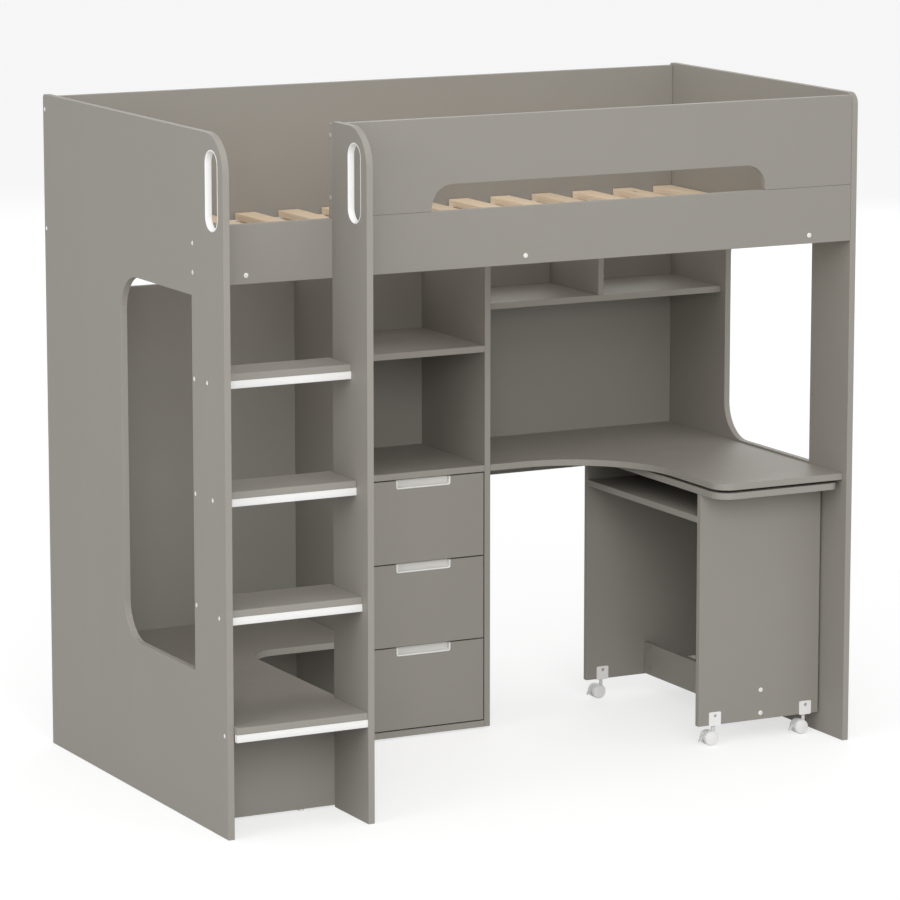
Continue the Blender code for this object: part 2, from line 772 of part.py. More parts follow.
def main():
    clear_scene()
    where = new_collection("loft_bed_with_desk")
    cutters = new_collection("construction")
    cutters.hide_render = True
    paint = material("greige_lacquer", (0.30, 0.285, 0.255), 0.55)
    white = material("white_plastic", (0.84, 0.84, 0.82), 0.35)
    grey = material("light_grey_plastic", (0.66, 0.66, 0.65), 0.40)
    pine = material("natural_pine", (0.72, 0.50, 0.30), 0.60)
    lining = material("drawer_lining", (0.62, 0.61, 0.58), 0.55)
    make_ends(paint, white, where)
    make_bed(paint, pine, where)
    make_ladder(paint, white, where)
    make_chest(paint, where)
    make_desktop(paint, where)
    make_drawers(paint, lining, white, where)
    make_rolling_desk(paint, white, grey, where)


main()
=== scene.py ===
"""Looks of the loft bed with desk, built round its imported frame.

Metres, +Z up. +X runs along the bed from the ladder end to the desk end, and the open front
faces -Y. The boards are the frame's own nodes in a matt greige lacquer. Slats, webbing, pulls,
grip liners, tread strips, drawer trays and casters are finer pieces that stand for their nodes,
and the bolts, cams, screws, glides and runners are added to them.
"""

import json
import logging
import math
from dataclasses import dataclass
from enum import Enum
from typing import Iterable, Sequence

import bmesh
import bpy
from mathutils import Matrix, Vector

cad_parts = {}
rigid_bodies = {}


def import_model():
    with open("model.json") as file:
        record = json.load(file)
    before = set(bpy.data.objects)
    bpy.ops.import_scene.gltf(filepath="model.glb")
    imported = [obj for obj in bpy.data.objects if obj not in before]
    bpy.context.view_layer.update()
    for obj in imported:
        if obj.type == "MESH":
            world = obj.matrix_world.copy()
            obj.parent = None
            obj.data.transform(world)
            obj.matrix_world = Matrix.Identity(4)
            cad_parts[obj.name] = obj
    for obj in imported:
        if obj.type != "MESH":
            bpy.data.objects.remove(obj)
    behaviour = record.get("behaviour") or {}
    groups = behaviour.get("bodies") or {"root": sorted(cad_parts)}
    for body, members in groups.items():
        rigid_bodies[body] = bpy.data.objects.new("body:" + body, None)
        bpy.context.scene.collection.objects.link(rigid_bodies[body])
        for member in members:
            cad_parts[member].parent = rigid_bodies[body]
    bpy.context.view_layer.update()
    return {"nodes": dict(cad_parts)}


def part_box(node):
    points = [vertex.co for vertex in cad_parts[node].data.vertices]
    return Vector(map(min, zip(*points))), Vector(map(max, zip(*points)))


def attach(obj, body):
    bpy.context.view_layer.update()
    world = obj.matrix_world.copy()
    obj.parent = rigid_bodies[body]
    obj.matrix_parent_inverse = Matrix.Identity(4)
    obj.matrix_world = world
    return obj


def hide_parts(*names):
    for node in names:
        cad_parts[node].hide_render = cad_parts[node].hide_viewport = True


for leftover in list(bpy.data.objects):
    bpy.data.objects.remove(leftover)

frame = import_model()

LOG = logging.getLogger("loft_bed")

Colour = tuple[float, float, float]
Point2 = tuple[float, float]
Outline = list[Point2]

BODY_FRAME = "frame"
BODY_ROLLING = "rolling_desk"
SLOT_WHITE = "white_plastic"
SLOT_GREY = "light_grey_plastic"
SLOT_TRAY = "drawer_lining"
SLOT_PINE = "pine"
CRISP = 35
FLOOR_DROP = 0.0005
AIM_HEIGHT = 0.9


class Axis(Enum):
    """The row's axes."""

    X = 0
    Y = 1
    Z = 2

    @property
    def vector(self) -> Vector:
        """The axis as a unit vector."""
        return Vector([1.0 if self.value == place else 0.0 for place in range(3)])


class Plane(Enum):
    """The plane an outline is drawn in. Its value holds the axes of u, v and the thickness."""

    XY = (Axis.X, Axis.Y, Axis.Z)
    XZ = (Axis.X, Axis.Z, Axis.Y)
    YZ = (Axis.Y, Axis.Z, Axis.X)

    def place(self, u: float, v: float, w: float) -> Vector:
        """The point at u and v in the plane and w along the thickness."""
        across, up, through = self.value
        return across.vector * u + up.vector * v + through.vector * w


# ---------------------------------------------------------------------------------------------
# Shader trees
# ---------------------------------------------------------------------------------------------


class Tree:
    """Adds and links the nodes of one shader tree or node group."""

    def __init__(self, tree: bpy.types.NodeTree) -> None:
        """Starts on a tree.

        Args:
            tree: The node tree that is added to.
        """
        self.tree = tree

    def add(self, kind: str, **settings: object) -> bpy.types.Node:
        """Adds a node.

        Args:
            kind: The node's type without its ShaderNode prefix.
            settings: Properties to set on it.

        Returns:
            The new node.
        """
        node = self.tree.nodes.new("ShaderNode" + kind)
        for name, value in settings.items():
            setattr(node, name, value)
        return node

    def feed(self, socket: bpy.types.NodeSocket, value: object) -> None:
        """Links a socket to another one, or sets its value.

        Args:
            socket: The input.
            value: An output socket, or the value itself.
        """
        if isinstance(value, bpy.types.NodeSocket):
            self.tree.links.new(value, socket)
        else:
            socket.default_value = value

    def math(self, operation: str, *values: object, clamp: bool = False) -> bpy.types.NodeSocket:
        """A Math node's result over its inputs."""
        node = self.add("Math", operation=operation, use_clamp=clamp)
        for place, value in enumerate(values):
            self.feed(node.inputs[place], value)
        return node.outputs[0]

    def line(self, value: object, slope: object, base: object) -> bpy.types.NodeSocket:
        """A slope times a value, plus a base."""
        return self.math("MULTIPLY_ADD", value, slope, base)

    def spread(self, value: object, low: float, high: float, to: Point2 = (0, 1)) -> bpy.types.NodeSocket:
        """A Map Range node, smooth and clamped, from low and high to the pair given."""
        node = self.add("MapRange", interpolation_type="SMOOTHSTEP")
        for place, given in enumerate((value, low, high, *to)):
            self.feed(node.inputs[place], given)
        return node.outputs[0]

    def blend(self, factor: object, first: object, second: object) -> bpy.types.NodeSocket:
        """Mixes two colours by a factor."""
        node = self.add("Mix", data_type="RGBA")
        for place, value in ((0, factor), (6, first), (7, second)):
            self.feed(node.inputs[place], value)
        return node.outputs[2]

    def stretch(self, vector: object, scale: Sequence[float]) -> bpy.types.NodeSocket:
        """Scales a texture's coordinates along each axis."""
        node = self.add("Mapping")
        self.feed(node.inputs["Vector"], vector)
        node.inputs["Scale"].default_value = scale
        return node.outputs[0]

    def noise(
        self, vector: object, scale: object, detail: float = 2, rough: float = 0.5
    ) -> bpy.types.NodeSocket:
        """A noise texture's value."""
        node = self.add("TexNoise")
        given = {"Vector": vector, "Scale": scale, "Detail": detail, "Roughness": rough}
        for name, value in given.items():
            self.feed(node.inputs[name], value)
        return node.outputs[0]

    def place(self) -> bpy.types.NodeSocket:
        """The object's own coordinates, in metres."""
        return self.add("TexCoord").outputs["Object"]


class Effects:
    """The shader effects that several finishes share, each built once as a node group."""

    def __init__(self) -> None:
        """Starts with no group built."""
        self.built: dict[str, bpy.types.NodeTree] = {}

    def use(self, tree: Tree, name: str, **values: object) -> bpy.types.Node:
        """Places a shared effect in a material.

        Args:
            tree: The material's tree.
            name: The effect's method name.
            values: Its inputs, with spaces written as underscores.

        Returns:
            The group node.
        """
        if name not in self.built:
            self.built[name] = getattr(self, "make_" + name)()
        node = tree.add("Group", node_tree=self.built[name])
        for label, value in values.items():
            tree.feed(node.inputs[label.replace("_", " ")], value)
        return node

    @staticmethod
    def begin(name: str, inputs: dict[str, object], outputs: Iterable[str]) -> tuple[Tree, dict, dict]:
        """Opens a node group with named sockets.

        Args:
            name: The group's name.
            inputs: Each input's default: a number, or three of them for a vector.
            outputs: The outputs' names, all numbers.

        Returns:
            The tree, its input sockets by name and its output sockets by name.
        """
        group = bpy.data.node_groups.new(name, "ShaderNodeTree")
        for label, default in inputs.items():
            kind = "NodeSocketVector" if isinstance(default, tuple) else "NodeSocketFloat"
            socket = group.interface.new_socket(label, in_out="INPUT", socket_type=kind)
            socket.default_value = default
        for label in outputs:
            group.interface.new_socket(label, in_out="OUTPUT", socket_type="NodeSocketFloat")
        tree = Tree(group)
        source = group.nodes.new("NodeGroupInput")
        sink = group.nodes.new("NodeGroupOutput")
        given = {socket.name: socket for socket in source.outputs if socket.name}
        return tree, given, {socket.name: socket for socket in sink.inputs if socket.name}

    def make_tone_drift(self) -> bpy.types.NodeTree:
        """Slow clouds of tone, as a batch of paint or plastic has. Drift runs from -1 to 1."""
        tree, given, out = self.begin("tone_drift", {"Scale": 2.0}, ["Drift"])
        wide = tree.noise(tree.place(), given["Scale"], 3, 0.55)
        fine = tree.noise(tree.place(), tree.math("MULTIPLY", given["Scale"], 9.0), 2)
        both = tree.math("ADD", tree.math("MULTIPLY", wide, 0.7), tree.math("MULTIPLY", fine, 0.3))
        tree.feed(out["Drift"], tree.line(both, 4.0, -2.0))
        return tree.tree

    def make_spray_skin(self) -> bpy.types.NodeTree:
        """The orange peel of a sprayed skin, with fine specks of dust caught in it."""
        inputs = {"Peel Scale": 420.0, "Speck Scale": 900.0}
        tree, given, out = self.begin("spray_skin", inputs, ["Height", "Specks"])
        peel = tree.noise(tree.place(), given["Peel Scale"], 2, 0.45)
        cells = tree.add("TexVoronoi", feature="F1")
        tree.feed(cells.inputs["Vector"], tree.place())
        tree.feed(cells.inputs["Scale"], given["Speck Scale"])
        near = tree.spread(cells.outputs["Distance"], 0.02, 0.10, (1, 0))
        rare = tree.math("GREATER_THAN", tree.noise(tree.place(), 60.0, 1), 0.60)
        specks = tree.math("MULTIPLY", near, rare)
        tree.feed(out["Height"], tree.line(specks, 0.6, peel))
        tree.feed(out["Specks"], specks)
        return tree.tree

    def make_edge_band(self) -> bpy.types.NodeTree:
        """1 on a board's edges and 0 on its two faces, from the axis of its thickness."""
        tree, given, out = self.begin("edge_band", {"Axis": (0.0, 0.0, 1.0)}, ["Band"])
        dot = tree.add("VectorMath", operation="DOT_PRODUCT")
        tree.feed(dot.inputs[0], tree.add("TexCoord").outputs["Normal"])
        tree.feed(dot.inputs[1], given["Axis"])
        facing = tree.math("ABSOLUTE", dot.outputs["Value"])
        tree.feed(out["Band"], tree.spread(facing, 0.35, 0.85, (1, 0)))
        return tree.tree

    def make_handling(self) -> bpy.types.NodeTree:
        """Faint polish where hands and cloths have passed: long soft smears, from 0 to 1."""
        tree, given, out = self.begin("handling", {"Scale": 3.0}, ["Polish"])
        smear = tree.stretch(tree.place(), (1.0, 1.6, 0.45))
        tree.feed(out["Polish"], tree.spread(tree.noise(smear, given["Scale"], 4, 0.6), 0.45, 0.68))
        return tree.tree

    def make_pine_grain(self) -> bpy.types.NodeTree:
        """Sawn pine: growth rings cut lengthwise, pores, knots and a fine furred surface."""
        inputs = {"Place": (0.0, 0.0, 0.0), "Seed": 0.0}
        tree, given, out = self.begin("pine_grain", inputs, ["Rings", "Pores", "Knots", "Height"])
        shift = tree.add("VectorMath", operation="MULTIPLY_ADD")
        tree.feed(shift.inputs[0], (1.7, 5.3, 0.9))
        tree.feed(shift.inputs[1], given["Seed"])
        tree.feed(shift.inputs[2], given["Place"])
        place = shift.outputs[0]
        knot_cells = tree.add("TexVoronoi", feature="F1")
        tree.feed(knot_cells.inputs["Vector"], tree.stretch(place, (9.0, 2.6, 4.0)))
        tree.feed(knot_cells.inputs["Scale"], 1.0)
        from_knot = knot_cells.outputs["Distance"]
        bulge = tree.spread(from_knot, 0.05, 0.35, (1, 0))
        bend = tree.noise(tree.stretch(place, (6.0, 0.9, 6.0)), 1.6, 2)
        apart = tree.add("SeparateXYZ")
        tree.feed(apart.inputs[0], place)
        across = tree.math("ADD", apart.outputs[0], tree.math("MULTIPLY", apart.outputs[2], 0.55))
        radial = tree.line(bend, 0.045, across)
        radial = tree.line(bulge, 0.012, radial)
        wave = tree.math("FRACT", tree.math("MULTIPLY", radial, 190.0))
        rings = tree.math("POWER", wave, 3.0)
        fibre = tree.noise(tree.stretch(place, (900.0, 14.0, 900.0)), 1.0, 3, 0.6)
        tree.feed(out["Rings"], rings)
        tree.feed(out["Pores"], tree.spread(fibre, 0.50, 0.72))
        tree.feed(out["Knots"], tree.spread(from_knot, 0.035, 0.085, (1, 0)))
        tree.feed(out["Height"], tree.line(rings, 0.5, fibre))
        return tree.tree

    def make_plain_weave(self) -> bpy.types.NodeTree:
        """A plain weave of warp along X and weft along Y, from the threads' pitch. Shade is painted shade, 1
        in the hollows between threads.
        """
        tree, given, out = self.begin("plain_weave", {"Pitch": 0.0011}, ["Height", "Shade"])
        apart = tree.add("SeparateXYZ")
        tree.feed(apart.inputs[0], tree.place())
        turns = []
        for axis in (0, 1):
            phase = tree.math("DIVIDE", apart.outputs[axis], given["Pitch"])
            turns.append(tree.math("SINE", tree.math("MULTIPLY", phase, math.pi)))
        over = tree.math("MULTIPLY", *turns)
        warp, weft = (tree.math("MULTIPLY", tree.math("ABSOLUTE", turn), over) for turn in reversed(turns))
        top = tree.math("MAXIMUM", warp, weft)
        height = tree.math("ADD", tree.math("ABSOLUTE", over), top)
        tree.feed(out["Height"], height)
        tree.feed(out["Shade"], tree.spread(height, 0.0, 0.7, (1, 0)))
        return tree.tree

    def make_mould_grain(self) -> bpy.types.NodeTree:
        """The spark-eroded grain of a mould on plastic."""
        tree, given, out = self.begin("mould_grain", {"Scale": 1400.0}, ["Height"])
        fine = tree.noise(tree.place(), given["Scale"], 3, 0.6)
        tree.feed(out["Height"], tree.spread(fine, 0.30, 0.70))
        return tree.tree

    def make_drawn_lines(self) -> bpy.types.NodeTree:
        """Lines left along X or Y by rolling, drawing or wiping."""
        tree, given, out = self.begin("drawn_lines", {"Stretch": (4.0, 900.0, 900.0)}, ["Lines"])
        scaled = tree.add("VectorMath", operation="MULTIPLY")
        tree.feed(scaled.inputs[0], tree.place())
        tree.feed(scaled.inputs[1], given["Stretch"])
        tree.feed(out["Lines"], tree.noise(scaled.outputs[0], 1.0, 3, 0.6))
        return tree.tree


# ---------------------------------------------------------------------------------------------
# Finishes
# ---------------------------------------------------------------------------------------------


def new_material(name: str) -> tuple[bpy.types.Material, Tree, bpy.types.Node]:
    """A material with a Principled shader.

    Args:
        name: The material's name.

    Returns:
        The material, its tree and its Principled shader.
    """
    made = bpy.data.materials.new(name)
    made.use_nodes = True
    return made, Tree(made.node_tree), made.node_tree.nodes["Principled BSDF"]


def bump(tree: Tree, shader: bpy.types.Node, height: object, strength: float, depth: float) -> None:
    """Bumps a shader's normal by a height.

    Args:
        tree: The material's tree.
        shader: Its Principled shader.
        height: The height's socket.
        strength: The Bump node's strength.
        depth: How deep the relief is, in metres.
    """
    node = tree.add("Bump")
    node.inputs["Strength"].default_value = strength
    node.inputs["Distance"].default_value = depth
    tree.feed(node.inputs["Height"], height)
    tree.feed(shader.inputs["Normal"], node.outputs[0])


def toned(tree: Tree, colour: object, value: object, saturation: object = 1.0) -> bpy.types.NodeSocket:
    """Shifts a colour's value and saturation.

    Args:
        tree: The material's tree.
        colour: The colour's socket, or its four numbers.
        value: The factor on its value.
        saturation: The factor on its saturation.

    Returns:
        The shifted colour.
    """
    shift = tree.add("HueSaturation")
    for name, given in (("Color", colour), ("Value", value), ("Saturation", saturation)):
        tree.feed(shift.inputs[name], given)
    return shift.outputs[0]


class Finish:
    """A kind of surface, which wires its own Principled shader."""

    def build(self, name: str, effects: Effects) -> bpy.types.Material:
        """Makes the finish's material.

        Args:
            name: The material's name.
            effects: The shared effects.

        Returns:
            The material.
        """
        made, tree, shader = new_material(name)
        self.paint(tree, shader, effects)
        return made

    def paint(self, tree: Tree, shader: bpy.types.Node, effects: Effects) -> None:
        """Wires the shader, each finish in its own way."""
        raise NotImplementedError


@dataclass(frozen=True)
class Lacquer(Finish):
    """Matt sprayed lacquer on fibreboard, with edge bands a shade lighter than the faces."""

    axis: Axis
    face: Colour = (0.318, 0.300, 0.268)
    band: Colour = (0.338, 0.320, 0.287)
    dust: Colour = (0.50, 0.49, 0.46)
    roughness: float = 0.56
    specular: float = 0.38

    def paint(self, tree: Tree, shader: bpy.types.Node, effects: Effects) -> None:
        """Faces and bands in drifting tone, under sprayed peel and caught dust."""
        band = effects.use(tree, "edge_band", Axis=self.axis.vector).outputs["Band"]
        drift = effects.use(tree, "tone_drift", Scale=1.3).outputs["Drift"]
        skin = effects.use(tree, "spray_skin")
        polish = effects.use(tree, "handling").outputs["Polish"]
        colour = tree.blend(band, (*self.face, 1), (*self.band, 1))
        cloudy = toned(tree, colour, tree.line(drift, 0.018, 1.0), tree.line(drift, -0.05, 1.0))
        dust = tree.math("MULTIPLY", skin.outputs["Specks"], 0.12)
        tree.feed(shader.inputs["Base Color"], tree.blend(dust, cloudy, (*self.dust, 1)))
        rough = tree.line(polish, -0.07, self.roughness)
        tree.feed(shader.inputs["Roughness"], tree.line(drift, 0.02, rough))
        shader.inputs["Specular IOR Level"].default_value = self.specular
        bump(tree, shader, skin.outputs["Height"], 0.10, 0.00025)


@dataclass(frozen=True)
class Pine(Finish):
    """Planed, unfinished pine with its grain along one axis."""

    along: Axis
    early: Colour = (0.890, 0.720, 0.530)
    late: Colour = (0.730, 0.520, 0.330)
    knot: Colour = (0.215, 0.110, 0.050)
    specular: float = 0.30

    def paint(self, tree: Tree, shader: bpy.types.Node, effects: Effects) -> None:
        """Rings, pores and knots, with a tone of its own for each board's seed."""
        turn = tree.add("Mapping")
        tree.feed(turn.inputs["Vector"], tree.place())
        turn.inputs["Rotation"].default_value = (0, 0, math.pi / 2 if self.along is Axis.X else 0)
        seed = tree.add("Attribute", attribute_name="grain_seed").outputs["Fac"]
        grain = effects.use(tree, "pine_grain", Place=turn.outputs[0], Seed=seed)
        drift = effects.use(tree, "tone_drift", Scale=5.0).outputs["Drift"]
        colour = (*self.early, 1)
        marks = (("Rings", 0.55, self.late), ("Pores", 0.20, self.late), ("Knots", 0.75, self.knot))
        for mark, share, tint in marks:
            colour = tree.blend(tree.math("MULTIPLY", grain.outputs[mark], share), colour, (*tint, 1))
        board = tree.line(tree.math("FRACT", tree.math("MULTIPLY", seed, 7.31)), 0.16, 0.93)
        tree.feed(shader.inputs["Base Color"], toned(tree, colour, tree.line(drift, 0.03, board)))
        tree.feed(shader.inputs["Roughness"], tree.line(grain.outputs["Rings"], -0.12, 0.66))
        shader.inputs["Specular IOR Level"].default_value = self.specular
        bump(tree, shader, grain.outputs["Height"], 0.35, 0.0003)


@dataclass(frozen=True)
class Moulded(Finish):
    """Moulded plastic: one colour, a fine mould grain and a slight sheen."""

    colour: Colour
    roughness: float = 0.42
    relief: float = 0.12

    def paint(self, tree: Tree, shader: bpy.types.Node, effects: Effects) -> None:
        """One drifting colour, polished by handling."""
        drift = effects.use(tree, "tone_drift", Scale=14.0).outputs["Drift"]
        polish = effects.use(tree, "handling", Scale=30.0).outputs["Polish"]
        grain = effects.use(tree, "mould_grain").outputs["Height"]
        tree.feed(shader.inputs["Base Color"], toned(tree, (*self.colour, 1), tree.line(drift, 0.012, 1.0)))
        tree.feed(shader.inputs["Roughness"], tree.line(polish, -0.08, self.roughness))
        bump(tree, shader, grain, self.relief, 0.0001)


@dataclass(frozen=True)
class Plated(Finish):
    """Zinc-plated or burnished steel, with drawn lines and a mottled bloom."""

    colour: Colour
    roughness: float = 0.32
    stretch: tuple[float, float, float] = (900.0, 6.0, 900.0)

    def paint(self, tree: Tree, shader: bpy.types.Node, effects: Effects) -> None:
        """Bare metal whose lines make it rougher."""
        lines = effects.use(tree, "drawn_lines", Stretch=self.stretch).outputs["Lines"]
        drift = effects.use(tree, "tone_drift", Scale=55.0).outputs["Drift"]
        tree.feed(shader.inputs["Base Color"], toned(tree, (*self.colour, 1), tree.line(drift, 0.08, 1.0)))
        shader.inputs["Metallic"].default_value = 1.0
        rough = tree.line(lines, 0.20, self.roughness - 0.10)
        tree.feed(shader.inputs["Roughness"], tree.line(drift, 0.05, rough))
        bump(tree, shader, lines, 0.12, 0.00008)


@dataclass(frozen=True)
class Webbing(Finish):
    """White woven tape."""

    colour: Colour = (0.88, 0.88, 0.87)
    hollow: Colour = (0.52, 0.52, 0.52)
    roughness: float = 0.88
    sheen: float = 0.25

    def paint(self, tree: Tree, shader: bpy.types.Node, effects: Effects) -> None:
        """A weave with painted shade: darker in its hollows, where shade falls between the threads."""
        weave = effects.use(tree, "plain_weave", Pitch=0.0011)
        drift = effects.use(tree, "tone_drift", Scale=20.0).outputs["Drift"]
        # Painted shade: the colour is darkened in the hollows between threads.
        shade = tree.math("MULTIPLY", weave.outputs["Shade"], 0.5)
        woven = tree.blend(shade, (*self.colour, 1), (*self.hollow, 1))
        tree.feed(shader.inputs["Base Color"], toned(tree, woven, tree.line(drift, 0.04, 1.0)))
        shader.inputs["Roughness"].default_value = self.roughness
        shader.inputs["Sheen Weight"].default_value = self.sheen
        bump(tree, shader, weave.outputs["Height"], 0.6, 0.0003)


@dataclass(frozen=True)
class Melamine(Finish):
    """The drawer trays' pale foil, printed with a faint linear fleck."""

    colour: Colour = (0.60, 0.59, 0.56)
    fleck: Colour = (0.47, 0.46, 0.43)
    roughness: float = 0.48

    def paint(self, tree: Tree, shader: bpy.types.Node, effects: Effects) -> None:
        """Flecks along the print's direction."""
        lines = effects.use(tree, "drawn_lines", Stretch=(420.0, 18.0, 420.0)).outputs["Lines"]
        drift = effects.use(tree, "tone_drift", Scale=6.0).outputs["Drift"]
        flecks = tree.spread(lines, 0.48, 0.72, (0.0, 0.5))
        tree.feed(shader.inputs["Base Color"], tree.blend(flecks, (*self.colour, 1), (*self.fleck, 1)))
        tree.feed(shader.inputs["Roughness"], tree.line(drift, 0.03, self.roughness))
        bump(tree, shader, lines, 0.10, 0.00012)


class Look(Enum):
    """Every finish of the bed, with its material's name."""

    GREIGE_X = ("greige_lacquer_x", Lacquer(Axis.X))
    GREIGE_Y = ("greige_lacquer_y", Lacquer(Axis.Y))
    GREIGE_Z = ("greige_lacquer_z", Lacquer(Axis.Z))
    PINE_X = ("pine_along_x", Pine(Axis.X))
    PINE_Y = ("pine_along_y", Pine(Axis.Y))
    WHITE = ("white_satin_plastic", Moulded((0.93, 0.925, 0.91)))
    PULL_BACK = ("pale_grey_plastic", Moulded((0.70, 0.69, 0.655), 0.46))
    CASTER_GREY = ("grey_nylon", Moulded((0.76, 0.76, 0.755), 0.38, 0.2))
    TYRE = ("soft_white_tread", Moulded((0.86, 0.86, 0.855), 0.55, 0.3))
    BOLT = ("white_painted_steel", Moulded((0.90, 0.90, 0.88), 0.30, 0.05))
    # Painted shade: near-black discs that stand for the shade in the stretcher's cam holes.
    SHADOW = ("painted_shade_black", Moulded((0.030, 0.029, 0.027), 0.6))
    CAP = ("greige_cap", Moulded((0.42, 0.41, 0.39), 0.45))
    ZINC = ("zinc_plate", Plated((0.62, 0.63, 0.64)))
    BLACK_SCREW = ("black_screw", Plated((0.045, 0.043, 0.042), 0.45, (300.0, 300.0, 300.0)))
    WEBBING = ("white_webbing", Webbing())
    TRAY = ("tray_foil", Melamine())


class Palette:
    """The bed's materials, each made the first time it is asked for."""

    def __init__(self) -> None:
        """Builds nothing yet."""
        self.effects = Effects()
        self.made: dict[Look, bpy.types.Material] = {}

    def __getitem__(self, look: Look) -> bpy.types.Material:
        """The material of a look."""
        if look not in self.made:
            name, finish = look.value
            self.made[look] = finish.build(name, self.effects)
        return self.made[look]


# ---------------------------------------------------------------------------------------------
# Meshes
# ---------------------------------------------------------------------------------------------


def round_corner(before: Vector, corner: Vector, after: Vector, radius: float, steps: int) -> Outline:
    """Rounds one corner of an outline.

    Args:
        before: The corner before it.
        corner: The corner itself.
        after: The corner after it.
        radius: The radius, or 0 to keep it sharp.
        steps: The arc's segments.

    Returns:
        The points that take the corner's place.
    """
    if radius == 0:
        return [tuple(corner)]
    back = (before - corner).normalized()
    ahead = (after - corner).normalized()
    half = back.angle(ahead) / 2
    centre = corner + (back + ahead).normalized() * (radius / math.sin(half))
    reach = radius / math.tan(half)
    first = corner + back * reach - centre
    turn = -first.angle_signed(corner + ahead * reach - centre)
    points = []
    for step in range(steps + 1):
        angle = turn * step / steps
        across = first.x * math.cos(angle) - first.y * math.sin(angle)
        up = first.x * math.sin(angle) + first.y * math.cos(angle)
        points.append((centre.x + across, centre.y + up))
    return points


def outline(corners: Sequence[tuple[float, float, float]], steps: int = 8) -> Outline:
    """A closed outline through corners given as u, v and radius."""
    places = [Vector(corner[:2]) for corner in corners]
    points: Outline = []
    for index, (_, _, radius) in enumerate(corners):
        after = places[(index + 1) % len(places)]
        points += round_corner(places[index - 1], places[index], after, radius, steps)
    return points


def slot(u: Point2, v: Point2, radius: float, steps: int = 8) -> Outline:
    """A rectangle between u and v with rounded corners."""
    (u0, u1), (v0, v1) = u, v
    return outline([(u0, v0, radius), (u1, v0, radius), (u1, v1, radius), (u0, v1, radius)], steps)


def capsule(start: Point2, end: Point2, radius: float, steps: int = 10) -> Outline:
    """A bar with round ends between two points."""
    heading = math.atan2(end[1] - start[1], end[0] - start[0])
    points: Outline = []
    for (u, v), first in ((end, heading - math.pi / 2), (start, heading + math.pi / 2)):
        for step in range(steps + 1):
            angle = first + math.pi * step / steps
            points.append((u + radius * math.cos(angle), v + radius * math.sin(angle)))
    return points


class Solid:
    """A mesh under construction."""

    def __init__(self) -> None:
        """Starts empty."""
        self.work = bmesh.new()

    def prism(self, plane: Plane, points: Outline, w: Point2) -> "Solid":
        """Adds an outline drawn out between two distances along its plane's thickness.

        Args:
            plane: The outline's plane.
            points: The outline.
            w: The two distances.

        Returns:
            The solid itself.
        """
        rings = [[self.work.verts.new(plane.place(u, v, level)) for u, v in points] for level in w]
        self.work.faces.new(rings[0])
        self.work.faces.new(rings[1])
        self.skirt(rings[0], rings[1])
        return self

    def skirt(self, first: Sequence[bmesh.types.BMVert], second: Sequence[bmesh.types.BMVert]) -> None:
        """Joins two closed rings of the same length with quads."""
        for index in range(len(first)):
            near, far = first[index - 1], first[index]
            self.work.faces.new((near, far, second[index], second[index - 1]))

    def loft(self, rings: Sequence[Sequence[Vector]], closed: bool = False, caps: bool = True) -> "Solid":
        """Adds a skin through closed rings.

        Args:
            rings: The rings, all of one length.
            closed: Whether the last ring joins the first.
            caps: Whether an open skin gets end faces.

        Returns:
            The solid itself.
        """
        made = [[self.work.verts.new(point) for point in ring] for ring in rings]
        for index in range(0 if closed else 1, len(made)):
            self.skirt(made[index - 1], made[index])
        if caps and not closed:
            self.work.faces.new(made[0])
            self.work.faces.new(made[-1])
        return self

    def turned(self, centre: Vector, axis: Vector, profile: Sequence[Point2], sides: int = 32) -> "Solid":
        """Adds a turned shape.

        Args:
            centre: The point where the profile's distance along the axis is 0.
            axis: The direction of the axis.
            profile: Radius and distance along the axis, point by point. A radius of 0 closes an end.
            sides: The sides of each ring.

        Returns:
            The solid itself.
        """
        toward = Vector(axis).normalized()
        side = toward.orthogonal().normalized()
        other = toward.cross(side)
        made: list[list[bmesh.types.BMVert]] = []
        for radius, along in profile:
            middle = Vector(centre) + toward * along
            if radius == 0:
                made.append([self.work.verts.new(middle)] * sides)
                continue
            ring = []
            for step in range(sides):
                angle = 2 * math.pi * step / sides
                arm = side * math.cos(angle) + other * math.sin(angle)
                ring.append(self.work.verts.new(middle + arm * radius))
            made.append(ring)
        for first, second in zip(made, made[1:]):
            for index in range(sides):
                corners = [first[index - 1], first[index], second[index], second[index - 1]]
                distinct = list(dict.fromkeys(corners))
                if len(distinct) > 2:
                    self.work.faces.new(distinct)
        return self

    def box(self, x: Point2, y: Point2, z: Point2) -> "Solid":
        """Adds a block between two limits on each axis."""
        return self.prism(Plane.XY, [(x[0], y[0]), (x[1], y[0]), (x[1], y[1]), (x[0], y[1])], z)

    def piece(self, name: str, material: bpy.types.Material, crisp: float = CRISP) -> bpy.types.Object:
        """Ends the work as an object.

        Args:
            name: The object's name.
            material: Its material.
            crisp: The angle in degrees above which an edge stays sharp.

        Returns:
            The new object.
        """
        bmesh.ops.recalc_face_normals(self.work, faces=self.work.faces)
        mesh = bpy.data.meshes.new(name)
        self.work.to_mesh(mesh)
        self.work.free()
        mesh.materials.append(material)
        mesh.shade_smooth()
        mesh.set_sharp_from_angle(angle=math.radians(crisp))
        made = bpy.data.objects.new(name, mesh)
        bpy.context.scene.collection.objects.link(made)
        return made


def soften(piece: bpy.types.Object, width: float, segments: int = 3, angle: float = 40) -> bpy.types.Object:
    """Rounds a piece's edges with a Bevel and keeps its flats flat.

    Args:
        piece: The piece.
        width: The rounding, in metres.
        segments: The rounding's segments.
        angle: The least angle of an edge that is rounded, in degrees.

    Returns:
        The piece.
    """
    edge = piece.modifiers.new("rounding", "BEVEL")
    edge.width = width
    edge.segments = segments
    edge.limit_method = "ANGLE"
    edge.angle_limit = math.radians(angle)
    edge.harden_normals = True
    return piece


